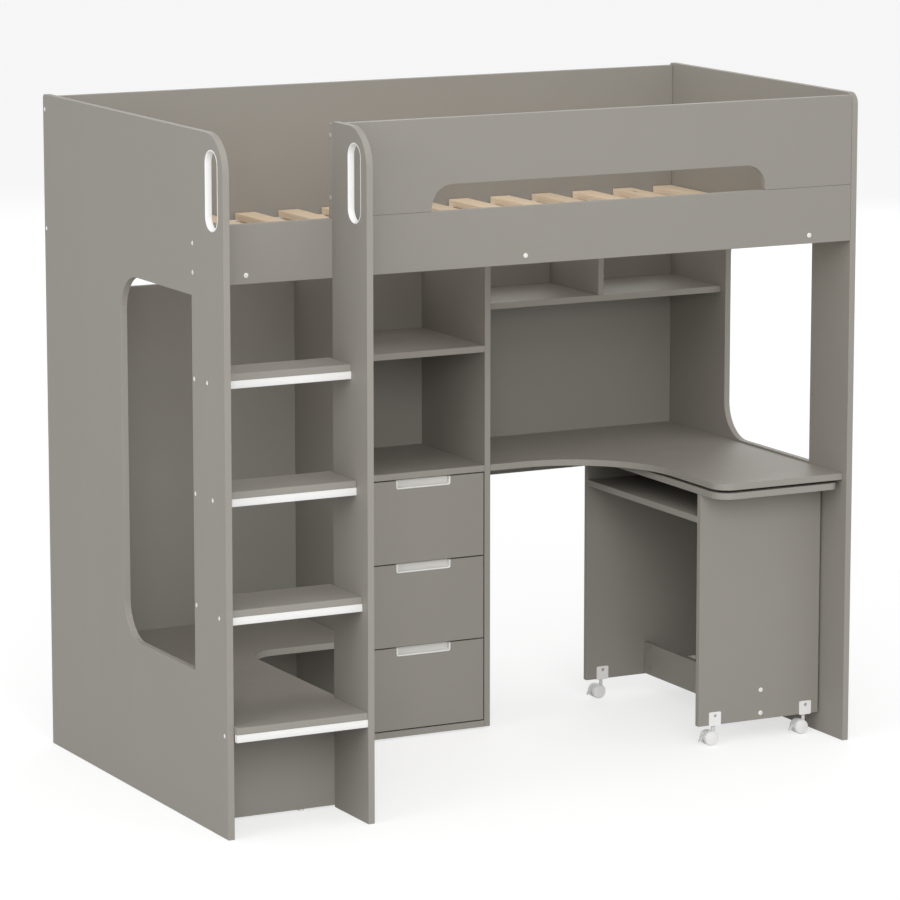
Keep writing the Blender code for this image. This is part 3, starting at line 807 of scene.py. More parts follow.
def carve(
    piece: bpy.types.Object, cutter: bpy.types.Object, operation: str = "DIFFERENCE"
) -> bpy.types.Object:
    """Cuts or joins a piece with another, which is used up.

    Args:
        piece: The piece.
        cutter: The other object.
        operation: DIFFERENCE or UNION.

    Returns:
        The piece.
    """
    change = piece.modifiers.new("carve", "BOOLEAN")
    change.operation = operation
    change.solver = "EXACT"
    change.object = cutter
    graph = bpy.context.evaluated_depsgraph_get()
    graph.update()
    mesh = bpy.data.meshes.new_from_object(piece.evaluated_get(graph))
    piece.modifiers.clear()
    piece.data = mesh
    mesh.shade_smooth()
    mesh.set_sharp_from_angle(angle=math.radians(CRISP))
    bpy.data.objects.remove(cutter)
    return piece


def settle(piece: bpy.types.Object, body: str, slot_name: str, *nodes: str) -> bpy.types.Object:
    """Makes a piece ride on a body and lets it stand for nodes.

    Args:
        piece: The piece.
        body: The body it moves with.
        slot_name: The record's slot for its finish. Not used.
        nodes: The frame's nodes that it stands for.

    Returns:
        The piece.
    """
    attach(piece, body)
    if nodes:
        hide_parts(*nodes)
    LOG.info("piece %s rides on %s", piece.name, body)
    return piece


def span(node: str, axis: Axis) -> Point2:
    """A node's lowest and highest place along an axis."""
    low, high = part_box(node)
    return low[axis.value], high[axis.value]


def extents(node: str) -> tuple[Point2, Point2, Point2]:
    """A node's lowest and highest places along X, Y and Z."""
    return tuple(span(node, axis) for axis in Axis)


def middle(node: str, axis: Axis) -> float:
    """The middle of a node along an axis."""
    low, high = span(node, axis)
    return (low + high) / 2


# ---------------------------------------------------------------------------------------------
# Fixings
# ---------------------------------------------------------------------------------------------


class Fixing:
    """A small turned fixing that adds itself to a solid."""

    sides = 24

    def profile(self) -> Outline:
        """Radius and distance from the seat, point by point."""
        raise NotImplementedError

    def add(self, solid: Solid, place: Vector, out: Vector) -> None:
        """Adds the fixing to a solid.

        Args:
            solid: The solid.
            place: The middle of its seat.
            out: The way it faces.
        """
        solid.turned(place, out, self.profile(), self.sides)


@dataclass(frozen=True)
class BoltHead(Fixing):
    """A domed furniture bolt with a hexagon socket."""

    radius: float = 0.0065
    height: float = 0.0022
    socket: float = 0.0021
    depth: float = 0.0014

    def profile(self) -> Outline:
        """The dome, down to the socket's rim."""
        r, h = self.radius, self.height
        dome = [(0.0, 0.0), (r, 0.0), (r, h * 0.35), (r * 0.94, h * 0.62), (r * 0.80, h * 0.86)]
        return dome + [(r * 0.60, h * 0.97), (self.socket * 1.25, h), (self.socket * 1.08, h - 0.0001)]

    def add(self, solid: Solid, place: Vector, out: Vector) -> None:
        """Adds the dome, then the hexagon's wall and floor."""
        super().add(solid, place, out)
        h = self.height
        wall = [(self.socket * 1.10, h - 0.00005), (self.socket, h - 0.0003), (self.socket, h - self.depth)]
        solid.turned(place, out, [*wall, (0.0, h - self.depth - 0.0002)], 6)


@dataclass(frozen=True)
class ScrewHead(Fixing):
    """A small pan-head screw with a dished slot."""

    radius: float = 0.0036
    height: float = 0.0016
    sides = 16

    def profile(self) -> Outline:
        """The pan head and the dish in it."""
        r, h = self.radius, self.height
        head = [(0.0, 0.0), (r, 0.0), (r, h * 0.45), (r * 0.85, h * 0.85), (r * 0.5, h)]
        return head + [(r * 0.34, h * 0.92), (r * 0.20, h * 0.55), (0.0, h * 0.42)]


@dataclass(frozen=True)
class CamDisc(Fixing):
    """A cam lock seen in its hole: a ring round a shallow dish."""

    radius: float = 0.0068

    def profile(self) -> Outline:
        """The ring and the dish, from just inside the board."""
        r = self.radius
        ring = [(r, -0.0006), (r, 0.0002), (r * 0.90, 0.0003), (r * 0.84, -0.0001)]
        return ring + [(r * 0.30, -0.0002), (r * 0.22, -0.0005), (0.0, -0.0005)]


@dataclass(frozen=True)
class Glide(Fixing):
    """A turned foot pad with a softened rim."""

    radius: float = 0.0085
    height: float = 0.0048

    def profile(self) -> Outline:
        """The pad, from its flat top down."""
        r, h = self.radius, self.height
        return [(0.0, 0.0), (r * 0.9, 0.0), (r, h * 0.3), (r * 0.97, h * 0.8), (r * 0.85, h), (0, h)]


class Fixings:
    """Bolts, caps, cams, screws and glides over the whole bed."""

    SEAT_DEPTH = 0.0024
    # Seats in the end panels, as distance behind the front edge and height.
    LEFT_SEATS = (
        (1.140, 1.740), (1.140, 1.420), (0.188, 1.494), (0.188, 1.420), (0.184, 1.151), (0.184, 0.858),
        (0.184, 0.571), (0.106, 1.152), (0.079, 0.858), (0.046, 0.563), (0.020, 0.266),
    )
    RIGHT_SEATS = (
        (1.140, 1.740), (1.140, 1.420), (0.188, 1.710), (0.188, 1.494), (0.188, 1.420), (0.300, 0.733),
        (1.050, 0.733), (0.900, 1.164), (1.085, 1.164), (1.140, 1.050),
    )
    LADDER_TOP = 1.2
    LADDER_DEPTH = 0.15
    CAP_HEIGHTS = (1.744, 1.586)
    RAIL_BOLTS = (0.1425, 0.940, 1.802)
    RAIL_BOLT_HEIGHT = 1.4044
    CAM_SIDE = 0.034
    CAM_FRONT = 0.045
    CAM_REAR = 0.060
    STRETCHER_BOLTS = (0.138, 0.073)
    STRETCHER_CAMS = (0.142, 0.078)
    STRETCHER_CAM_DROP = 0.001
    SHELF_BOLT_INSET = 0.050
    SCREW_SINK = 0.0014
    BACK_SCREW_HEIGHTS = (0.10, 0.40, 0.70, 1.00, 1.20)
    PLATFORM_SCREWS = (0.06, 0.25, 0.45)
    LEDGER_SCREWS = 8
    GLIDE_TOP = 0.0049
    KICKBOARD_GLIDES = (-0.12, 0.08)
    CHEST_GLIDE_INSET = 0.045
    CHEST_BOTTOM_GLIDE = 0.030
    BACK_PANEL_GLIDES = (0.08, 0.38)

    def __init__(self, palette: Palette) -> None:
        """Keeps the palette."""
        self.palette = palette
        self.panel_front = span("left_end_panel", Axis.Y)[0]

    def build(self) -> None:
        """Builds every set."""
        self.end_bolts()
        self.ladder_bolts()
        self.front_bolts()
        self.chest_fixings()
        self.desk_fixings()
        self.rear_screws()
        self.glides()

    def put(
        self, name: str, kind: Fixing, look: Look, slot_name: str,
        places: Iterable[Sequence[float]], out: Sequence[float], body: str = BODY_FRAME,
    ) -> None:
        """Builds one set of fixings as one piece.

        Args:
            name: The piece's name.
            kind: The fixing.
            look: Its finish.
            slot_name: The record's slot.
            places: Where each one sits.
            out: The way they all face.
            body: The body that they ride on.
        """
        solid = Solid()
        for place in places:
            kind.add(solid, Vector(place), Vector(out))
        settle(solid.piece(name, self.palette[look]), body, slot_name)

    def bolts(
        self, name: str, places: Iterable[Sequence[float]], out: Sequence[float], body: str = BODY_FRAME
    ) -> None:
        """Builds one set of bolt heads."""
        self.put(name, BoltHead(), Look.BOLT, SLOT_WHITE, places, out, body)

    def end_bolts(self) -> None:
        """The flush bolts in the end panels' seats."""
        left = span("left_end_panel", Axis.X)[0] + self.SEAT_DEPTH
        right = span("right_end_panel", Axis.X)[1] - self.SEAT_DEPTH
        front = self.panel_front
        self.bolts("left_end_bolts", [(left, front + y, z) for y, z in self.LEFT_SEATS], (-1, 0, 0))
        self.bolts("right_end_bolts", [(right, front + y, z) for y, z in self.RIGHT_SEATS], (1, 0, 0))

    def ladder_bolts(self) -> None:
        """The bolts through the stile into the treads, and the caps on the guard's end."""
        face = span("ladder_stile", Axis.X)[1]
        treads = [(y, z) for y, z in self.LEFT_SEATS if z < self.LADDER_TOP and y < self.LADDER_DEPTH]
        self.bolts("stile_bolts", [(face, self.panel_front + y, z) for y, z in treads], (1, 0, 0))
        end = span("front_guard", Axis.X)[0]
        caps = [(end, middle("front_guard", Axis.Y), z) for z in self.CAP_HEIGHTS]
        self.put("guard_end_caps", BoltHead(), Look.CAP, SLOT_GREY, caps, (-1, 0, 0))

    def front_bolts(self) -> None:
        """The bolts on the front rail's face."""
        face = span("front_rail", Axis.Y)[0]
        left = span("left_end_panel", Axis.X)[0]
        places = [(left + x, face, self.RAIL_BOLT_HEIGHT) for x in self.RAIL_BOLTS]
        self.bolts("rail_bolts", places, (0, -1, 0))

    def shelf_cams(self, name: str, shelf: str, x: Point2) -> None:
        """The cam locks under a shelf, whose clear width is given."""
        front, rear = span(shelf, Axis.Y)
        ends = (x[0] + self.CAM_SIDE, x[1] - self.CAM_SIDE)
        deep = (front + self.CAM_FRONT, rear - self.CAM_REAR)
        under = [(end, y, span(shelf, Axis.Z)[0]) for end in ends for y in deep]
        self.put(name, CamDisc(), Look.CAP, SLOT_GREY, under, (0, 0, -1))

    def chest_fixings(self) -> None:
        """Cam locks inside the chest's niches and on the hutch."""
        clear = (span("chest_left_side", Axis.X)[1], span("chest_right_side", Axis.X)[0])
        self.shelf_cams("chest_shelf_cams", "chest_shelf", clear)
        self.shelf_cams("hutch_cams", "hutch_shelf", span("hutch_shelf", Axis.X))

    def desk_fixings(self) -> None:
        """The rolling desk's bolts, and the cams on its stretcher."""
        x = middle("rolling_desk_stretcher", Axis.X)
        front = span("rolling_desk_front", Axis.Y)[0]
        rear = span("rolling_desk_rear", Axis.Y)[1]
        ahead = [(x, front, z) for z in self.STRETCHER_BOLTS]
        self.bolts("rolling_desk_front_bolts", ahead, (0, -1, 0), BODY_ROLLING)
        shelf = middle("rolling_desk_shelf", Axis.Z)
        low, high = span("rolling_desk_front", Axis.X)
        back = [(x, rear, z) for z in self.STRETCHER_BOLTS]
        back += [(side, rear, shelf) for side in (low + self.SHELF_BOLT_INSET, high - self.SHELF_BOLT_INSET)]
        self.bolts("rolling_desk_rear_bolts", back, (0, 1, 0), BODY_ROLLING)
        face = span("rolling_desk_stretcher", Axis.X)[0]
        y0, y1 = span("rolling_desk_stretcher", Axis.Y)
        along = (y0 + self.CAM_SIDE, y1 - self.CAM_SIDE)
        places = [(face, y, z - self.STRETCHER_CAM_DROP) for y in along for z in self.STRETCHER_CAMS]
        # These cams are near-black discs of painted shade in their holes.
        self.put("stretcher_cams", CamDisc(0.0045), Look.SHADOW, SLOT_GREY, places, (-1, 0, 0), BODY_ROLLING)

    def rear_screws(self) -> None:
        """The screws that hold the back panels and the ledgers."""
        rear = span("lower_back_panel", Axis.Y)[1] - self.SCREW_SINK
        x0, x1 = span("lower_back_panel", Axis.X)
        chest = (middle("chest_left_side", Axis.X), middle("chest_right_side", Axis.X) - 0.003)
        places = [(x, rear, z) for x in chest for z in self.BACK_SCREW_HEIGHTS]
        level = middle("corner_platform", Axis.Z)
        places += [(x0 + (x1 - x0) * share, rear, level) for share in self.PLATFORM_SCREWS]
        screw = ScrewHead(0.0034, 0.0014)
        self.put("back_panel_screws", screw, Look.BLACK_SCREW, SLOT_GREY, places, (0, 1, 0))
        for node, out in (("front_ledger", 1), ("rear_ledger", -1)):
            side = span(node, Axis.Y)[1 if out > 0 else 0]
            start, end = span(node, Axis.X)
            shares = [(index + 0.5) / self.LEDGER_SCREWS for index in range(self.LEDGER_SCREWS)]
            row = [(start + (end - start) * share, side, middle(node, Axis.Z)) for share in shares]
            screw = ScrewHead(0.0038, 0.0014)
            self.put(f"{node}_screws", screw, Look.BLACK_SCREW, SLOT_GREY, row, (0, out, 0))

    def glides(self) -> None:
        """The pads under the kickboard, the chest and the back panel."""
        x, y = middle("kickboard", Axis.X), middle("kickboard", Axis.Y)
        pads = [(x + dx, y) for dx in self.KICKBOARD_GLIDES]
        for side in ("chest_left_side", "chest_right_side"):
            front, rear = span(side, Axis.Y)
            ends = (front + self.CHEST_GLIDE_INSET, rear - self.CHEST_GLIDE_INSET)
            pads += [(middle(side, Axis.X), end) for end in ends]
        pads += [(middle("chest_bottom", Axis.X), span("chest_bottom", Axis.Y)[0] + self.CHEST_BOTTOM_GLIDE)]
        start, end = span("lower_back_panel", Axis.X)
        depth = middle("lower_back_panel", Axis.Y)
        pads += [(start + (end - start) * share, depth) for share in self.BACK_PANEL_GLIDES]
        places = [(x, y, self.GLIDE_TOP) for x, y in pads]
        self.put("floor_glides", Glide(), Look.WHITE, SLOT_WHITE, places, (0, 0, -1))


# ---------------------------------------------------------------------------------------------
# Boards
# ---------------------------------------------------------------------------------------------


class Boards:
    """The lacquered boards and pine ledgers, which keep their nodes and take their finish."""

    PINE_NODES = ("front_ledger", "rear_ledger")

    def __init__(self, palette: Palette, skipped: Iterable[str]) -> None:
        """Chooses the nodes that stay.

        Args:
            palette: The finishes.
            skipped: The nodes that finer pieces stand for.
        """
        self.palette = palette
        self.names = sorted(set(frame["nodes"]) - set(skipped))

    def thickness(self, name: str) -> Axis:
        """The axis along which a node is thinnest."""
        low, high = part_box(name)
        size = high - low
        return min(Axis, key=lambda axis: size[axis.value])

    def build(self) -> None:
        """Dresses every board."""
        for name in self.names:
            node = frame["nodes"][name]
            if name in self.PINE_NODES:
                material = self.palette[Look.PINE_X]
            else:
                material = self.palette[Look[f"GREIGE_{self.thickness(name).name}"]]
            node.data.materials.clear()
            node.data.materials.append(material)
            LOG.info("board %s is finished in %s", name, material.name)


# ---------------------------------------------------------------------------------------------
# Bed
# ---------------------------------------------------------------------------------------------


@dataclass
class SlatBase:
    """Fifteen pine slats stapled to two webbing tapes."""

    palette: Palette
    count: int = 15
    first: float = 0.024
    last: float = 0.0813
    width: float = 0.060
    rounding: float = 0.0011
    tape_width: float = 0.025
    thickness: float = 0.018
    tape_inset: float = 0.0145
    tape_thickness: float = 0.0011
    panel_play: float = 0.00015
    bow: float = 0.0004
    tape_sag: float = 0.00006
    tape_end: float = 0.006
    tape_bite: float = 0.002
    replaced: tuple[str, ...] = ("slat_base",)

    def starts(self) -> list[float]:
        """Each slat's left edge."""
        low = span("left_end_panel", Axis.X)[0] - self.panel_play + self.first
        high = span("right_end_panel", Axis.X)[1] + self.panel_play - self.last
        pitch = (high - low) / (self.count - 1)
        return [low + pitch * index for index in range(self.count)]

    def build(self) -> None:
        """Builds the slats, tapes and staples."""
        y = span("slat_base", Axis.Y)
        top = span("slat_base", Axis.Z)[1]
        bottom = top - self.thickness
        for number, left in enumerate(self.starts(), 1):
            self.slat(number, (left, left + self.width), y, (bottom, top))
        for side, centre in (("front", y[0] + self.tape_inset), ("rear", y[1] - self.tape_inset)):
            self.tape(side, centre, bottom)
            self.staples(side, centre, bottom - self.tape_thickness)

    def slat(self, number: int, x: Point2, y: Point2, z: Point2) -> None:
        """Builds one slat, cut into short lengths so that it can bow by a hair."""
        lengths = 14
        rings = []
        for step in range(lengths + 1):
            share = step / lengths
            bow = self.bow * math.sin(math.pi * share) * math.cos(number * 1.9)
            along = y[0] + (y[1] - y[0]) * share
            ring = slot((x[0] + bow, x[1] + bow), (z[0], z[1]), self.rounding, 4)
            rings.append([Vector((u, along, v)) for u, v in ring])
        piece = Solid().loft(rings).piece(f"slat_{number:02d}", self.palette[Look.PINE_Y])
        seed = piece.data.attributes.new("grain_seed", "FLOAT", "POINT")
        value = 0.37 * number + 0.11 * math.sin(number * 5.0)
        seed.data.foreach_set("value", [value] * len(piece.data.vertices))
        nodes = self.replaced if number == 1 else ()
        settle(piece, BODY_FRAME, SLOT_PINE, *nodes)

    def tape(self, side: str, centre: float, level: float) -> None:
        """Builds a tape that runs under the slats' ends, flat on its ledger."""
        starts = self.starts()
        points: list[Point2] = [(starts[0] + self.tape_end, level)]
        for left, following in zip(starts, starts[1:]):
            right = left + self.width
            gap = following - right
            points.append((right - self.tape_bite, level))
            for share in (0.2, 0.5, 0.8):
                points.append((right + gap * share, level - self.tape_sag * math.sin(math.pi * share)))
            points.append((following + self.tape_bite, level))
        points.append((starts[-1] + self.width - self.tape_end, level))
        half = self.tape_width / 2
        thick = self.tape_thickness
        rings = []
        for x, z in points:
            ring = slot((centre - half, centre + half), (z - thick, z - 0.0001), thick * 0.45, 2)
            rings.append([Vector((x, y, up)) for y, up in ring])
        piece = Solid().loft(rings).piece(f"{side}_tape", self.palette[Look.WEBBING], 50)
        settle(piece, BODY_FRAME, SLOT_WHITE)

    def staples(self, side: str, centre: float, level: float) -> None:
        """Builds the staples that hold a tape, two to a slat."""
        solid = Solid()
        wire, turns = 0.00045, (0.4, 1.6, 2.8, 4.0, 5.2)
        leg = [(0.0045, -0.0004), (0.0053, -0.0002), (0.0055, 0.0009)]
        path = [(-y, z) for y, z in reversed(leg)] + [(0.0, -0.00045), *leg]
        for left in self.starts():
            for x in (left + 0.020, left + 0.040):
                rings = []
                for y, z in path:
                    ring = [(x + wire * math.cos(turn), z + wire * math.sin(turn)) for turn in turns]
                    rings.append([Vector((u, centre + y, level + v)) for u, v in ring])
                solid.loft(rings)
        piece = solid.piece(f"{side}_staples", self.palette[Look.ZINC], 60)
        settle(piece, BODY_FRAME, SLOT_GREY)


@dataclass
class GripLiner:
    """A white moulded liner through a hand grip: two halves that meet at a fine seam."""

    palette: Palette
    wall: float = 0.0034
    lip: float = 0.0009
    seam: float = 0.0004

    def build(self, node: str) -> None:
        """Builds the liner that stands for a node."""
        (x0, x1), (y0, y1), (z0, z1) = extents(node)
        radius = (y1 - y0) / 2 * 0.98
        mid = (x0 + x1) / 2
        lip, seam, wall = self.lip, self.seam, self.wall
        ease = lip * 0.3
        section = [(x0 + lip, 0.0), (x0 + ease, ease), (x0, lip), (x0, wall - lip), (x0 + ease, wall - ease)]
        section += [(x0 + lip, wall), (mid - seam, wall), (mid - seam * 0.5, wall - seam)]
        section += [(mid + seam * 0.5, wall - seam), (mid + seam, wall), (x1 - lip, wall)]
        section += [(x1 - ease, wall - ease), (x1, wall - lip), (x1, lip), (x1 - ease, ease), (x1 - lip, 0.0)]
        rings = []
        for x, inset in section:
            sides = ((y0 + inset, y1 - inset), (z0 + inset, z1 - inset))
            ring = slot(*sides, max(radius - inset, 0.001), 16)
            rings.append([Vector((x, y, z)) for y, z in ring])
        piece = Solid().loft(rings, closed=True).piece(f"{node}_moulding", self.palette[Look.WHITE], 50)
        settle(piece, BODY_FRAME, SLOT_WHITE, node)


@dataclass
class TreadStrip:
    """A white extruded strip under a tread's front edge, with grip lines and closed ends."""

    palette: Palette
    grooves: int = 3
    groove: float = 0.0005
    pitch: float = 0.0022
    nose: float = 0.0011

    def build(self, number: int) -> None:
        """Builds the strip that stands for a node."""
        node = f"tread_strip_{number}"
        x, (y0, y1), (z0, z1) = extents(node)
        nose, pitch, deep = self.nose, self.pitch, self.groove
        points: Outline = [(y0 + nose, z0), (y0 + nose * 0.3, z0 + nose * 0.3), (y0, z0 + nose)]
        start = z1 - pitch - pitch * self.grooves
        for index in range(self.grooves):
            low = start + pitch * index
            points += [(y0, low), (y0 + deep, low + 0.0003), (y0 + deep, low + 0.0007), (y0, low + 0.0010)]
        points += [(y0, z1 - nose * 0.6), (y0 + nose * 0.5, z1), (y1, z1), (y1, z0 + 0.004), (y1 - 0.001, z0)]
        rings = [[Vector((side, u, v)) for u, v in points] for side in x]
        piece = Solid().loft(rings).piece(f"grip_strip_{number}", self.palette[Look.WHITE], 25)
        settle(piece, BODY_FRAME, SLOT_WHITE, node)


# ---------------------------------------------------------------------------------------------
# Drawers
# ---------------------------------------------------------------------------------------------


@dataclass
class Drawer:
    """A drawer's moulded pull, its tray and its pair of runners."""

    palette: Palette
    number: int
    rim: float = 0.0037
    corner: float = 0.006
    skin: float = 0.0008
    wall: float = 0.012
    fit: float = 0.0001
    runner_height: float = 0.055

    @property
    def body(self) -> str:
        """The drawer's body."""
        return f"drawer_{self.number}"

    def build(self) -> None:
        """Builds the drawer's finer pieces."""
        self.pull()
        self.tray()
        self.runners()

    def pull(self) -> None:
        """Builds the white rim and the grey scoop behind it."""
        node = f"drawer_pull_{self.number}"
        x, (y0, y1), z = extents(node)
        rim, skin = self.rim, self.skin
        path = self.u_path(x, z, 0.0, self.corner)
        inner = self.u_path(x, z, rim, self.corner - rim)
        section = [(y1 - skin, 0.0), (y0 + skin, 0.0), (y0, skin)]
        section += [(y0, rim - skin), (y0 + skin, rim), (y1 - skin, rim)]
        rings = []
        for outer, within in zip(path, inner):
            toward = (Vector(within) - Vector(outer)) / rim
            places = [(Vector(outer) + toward * inset, y) for y, inset in section]
            rings.append([Vector((at.x, y, at.y)) for at, y in places])
        piece = Solid().loft(rings).piece(f"pull_rim_{self.number}", self.palette[Look.WHITE], 50)
        settle(piece, self.body, SLOT_WHITE, node)
        self.scoop((x[0] + rim, x[1] - rim), (y0, y1), (z[0] + rim, z[1]))

    @staticmethod
    def u_path(x: Point2, z: Point2, inset: float, corner: float, steps: int = 7) -> Outline:
        """The path down one side of a pull, under it and up the other."""
        x0, x1, z0, z1 = x[0] + inset, x[1] - inset, z[0] + inset, z[1]
        places = [Vector((x0, z1)), Vector((x0, z0)), Vector((x1, z0)), Vector((x1, z1))]
        points: Outline = [tuple(places[0])]
        points += round_corner(places[0], places[1], places[2], corner, steps)
        points += round_corner(places[1], places[2], places[3], corner, steps)
        return [*points, tuple(places[3])]

    def scoop(self, x: Point2, y: Point2, z: Point2) -> None:
        """Builds the scooped inner skin, which curves from the rim's floor up its back."""
        set_back, back_skin, lift, rise, under, cheek = 0.0022, 0.0006, 0.0002, 0.006, 0.0018, 0.0006
        flat, steps = 0.45, 8
        solid = Solid()
        front, back = y[0] + set_back, y[1] - back_skin
        deep = back - front
        profile = [(front, z[0] + lift)]
        for step in range(steps + 1):
            angle = math.pi / 2 * step / steps
            along = front + deep * flat + deep * (1 - flat) * math.sin(angle)
            profile.append((along, z[0] + lift + rise * (1 - math.cos(angle))))
        profile += [(back, z[1]), (y[1], z[1]), (y[1], z[0] - under), (front, z[0] - under)]
        solid.prism(Plane.YZ, profile, x)
        for side, out in ((x[0], 1), (x[1], -1)):
            solid.box(tuple(sorted((side, side + out * cheek))), (front, back), z)
        piece = solid.piece(f"pull_scoop_{self.number}", self.palette[Look.PULL_BACK], 30)
        settle(piece, self.body, SLOT_WHITE)

    def tray(self) -> None:
        """Builds the tray: four walls with eased tops and a thin bottom let into them."""
        node = f"drawer_box_{self.number}"
        (x0, x1), (y0, y1), (z0, z1) = extents(node)
        wall, fit = self.wall, self.fit
        inside = (x0 + wall + fit, x1 - wall - fit)
        short = (z0 + 0.0005, z1 - 0.0005)
        boards = {
            "left": ((x0, x0 + wall), (y0, y1), (z0, z1)),
            "right": ((x1 - wall, x1), (y0, y1), (z0, z1)),
            "front": (inside, (y0, y0 + wall), short),
            "rear": (inside, (y1 - wall, y1), short),
            "bottom": (inside, (y0 + wall + fit, y1 - wall - fit), (z0 + 0.0045, z0 + 0.0095)),
        }
        for side, limits in boards.items():
            board = Solid().box(*limits).piece(f"tray_{side}_{self.number}", self.palette[Look.TRAY])
            easing = (0.0004, 1) if side == "bottom" else (0.0012, 3)
            nodes = (node,) if side == "left" else ()
            settle(soften(board, *easing), self.body, SLOT_TRAY, *nodes)

    def runners(self) -> None:
        """Builds the fixed channels on the chest and the moving ones on the tray."""
        (low, high), (y0, y1), (z0, _) = extents(f"drawer_box_{self.number}")
        centre = z0 + self.runner_height
        chest = (span("chest_left_side", Axis.X)[1], span("chest_right_side", Axis.X)[0])
        for side, base, start, out in (("left", chest[0], low, 1), ("right", chest[1], high, -1)):
            on_chest, on_tray = base + out * self.fit, start - out * self.fit
            fixed = self.channel(on_chest, out, 0.0225, 0.0094, (y0 + 0.004, y1 - 0.006), centre)
            moving = self.channel(on_tray, -out, 0.0175, 0.0086, (y0 + 0.008, y1 - 0.010), centre)
            for kind, solid, body in (("fixed", fixed, BODY_FRAME), ("moving", moving, self.body)):
                piece = solid.piece(f"runner_{kind}_{side}_{self.number}", self.palette[Look.ZINC])
                settle(soften(piece, 0.0003, 2), body, SLOT_GREY)

    @staticmethod
    def channel(base: float, out: int, half: float, deep: float, y: Point2, centre: float) -> Solid:
        """A folded steel channel.

        Args:
            base: Where its back lies along X.
            out: The way its lips point along X.
            half: Half its height.
            deep: How far its lips reach.
            y: Its front and rear ends.
            centre: The height of its middle.

        Returns:
            The solid.
        """
        sheet = 0.0011
        tip, skin = base + out * deep, base + out * sheet
        low, high = centre - half, centre + half
        points = [(base, low), (tip, low), (tip, low + sheet), (skin, low + sheet)]
        points += [(skin, high - sheet), (tip, high - sheet), (tip, high), (base, high)]
        return Solid().prism(Plane.XZ, points, y)


# ---------------------------------------------------------------------------------------------
# Casters
# ---------------------------------------------------------------------------------------------


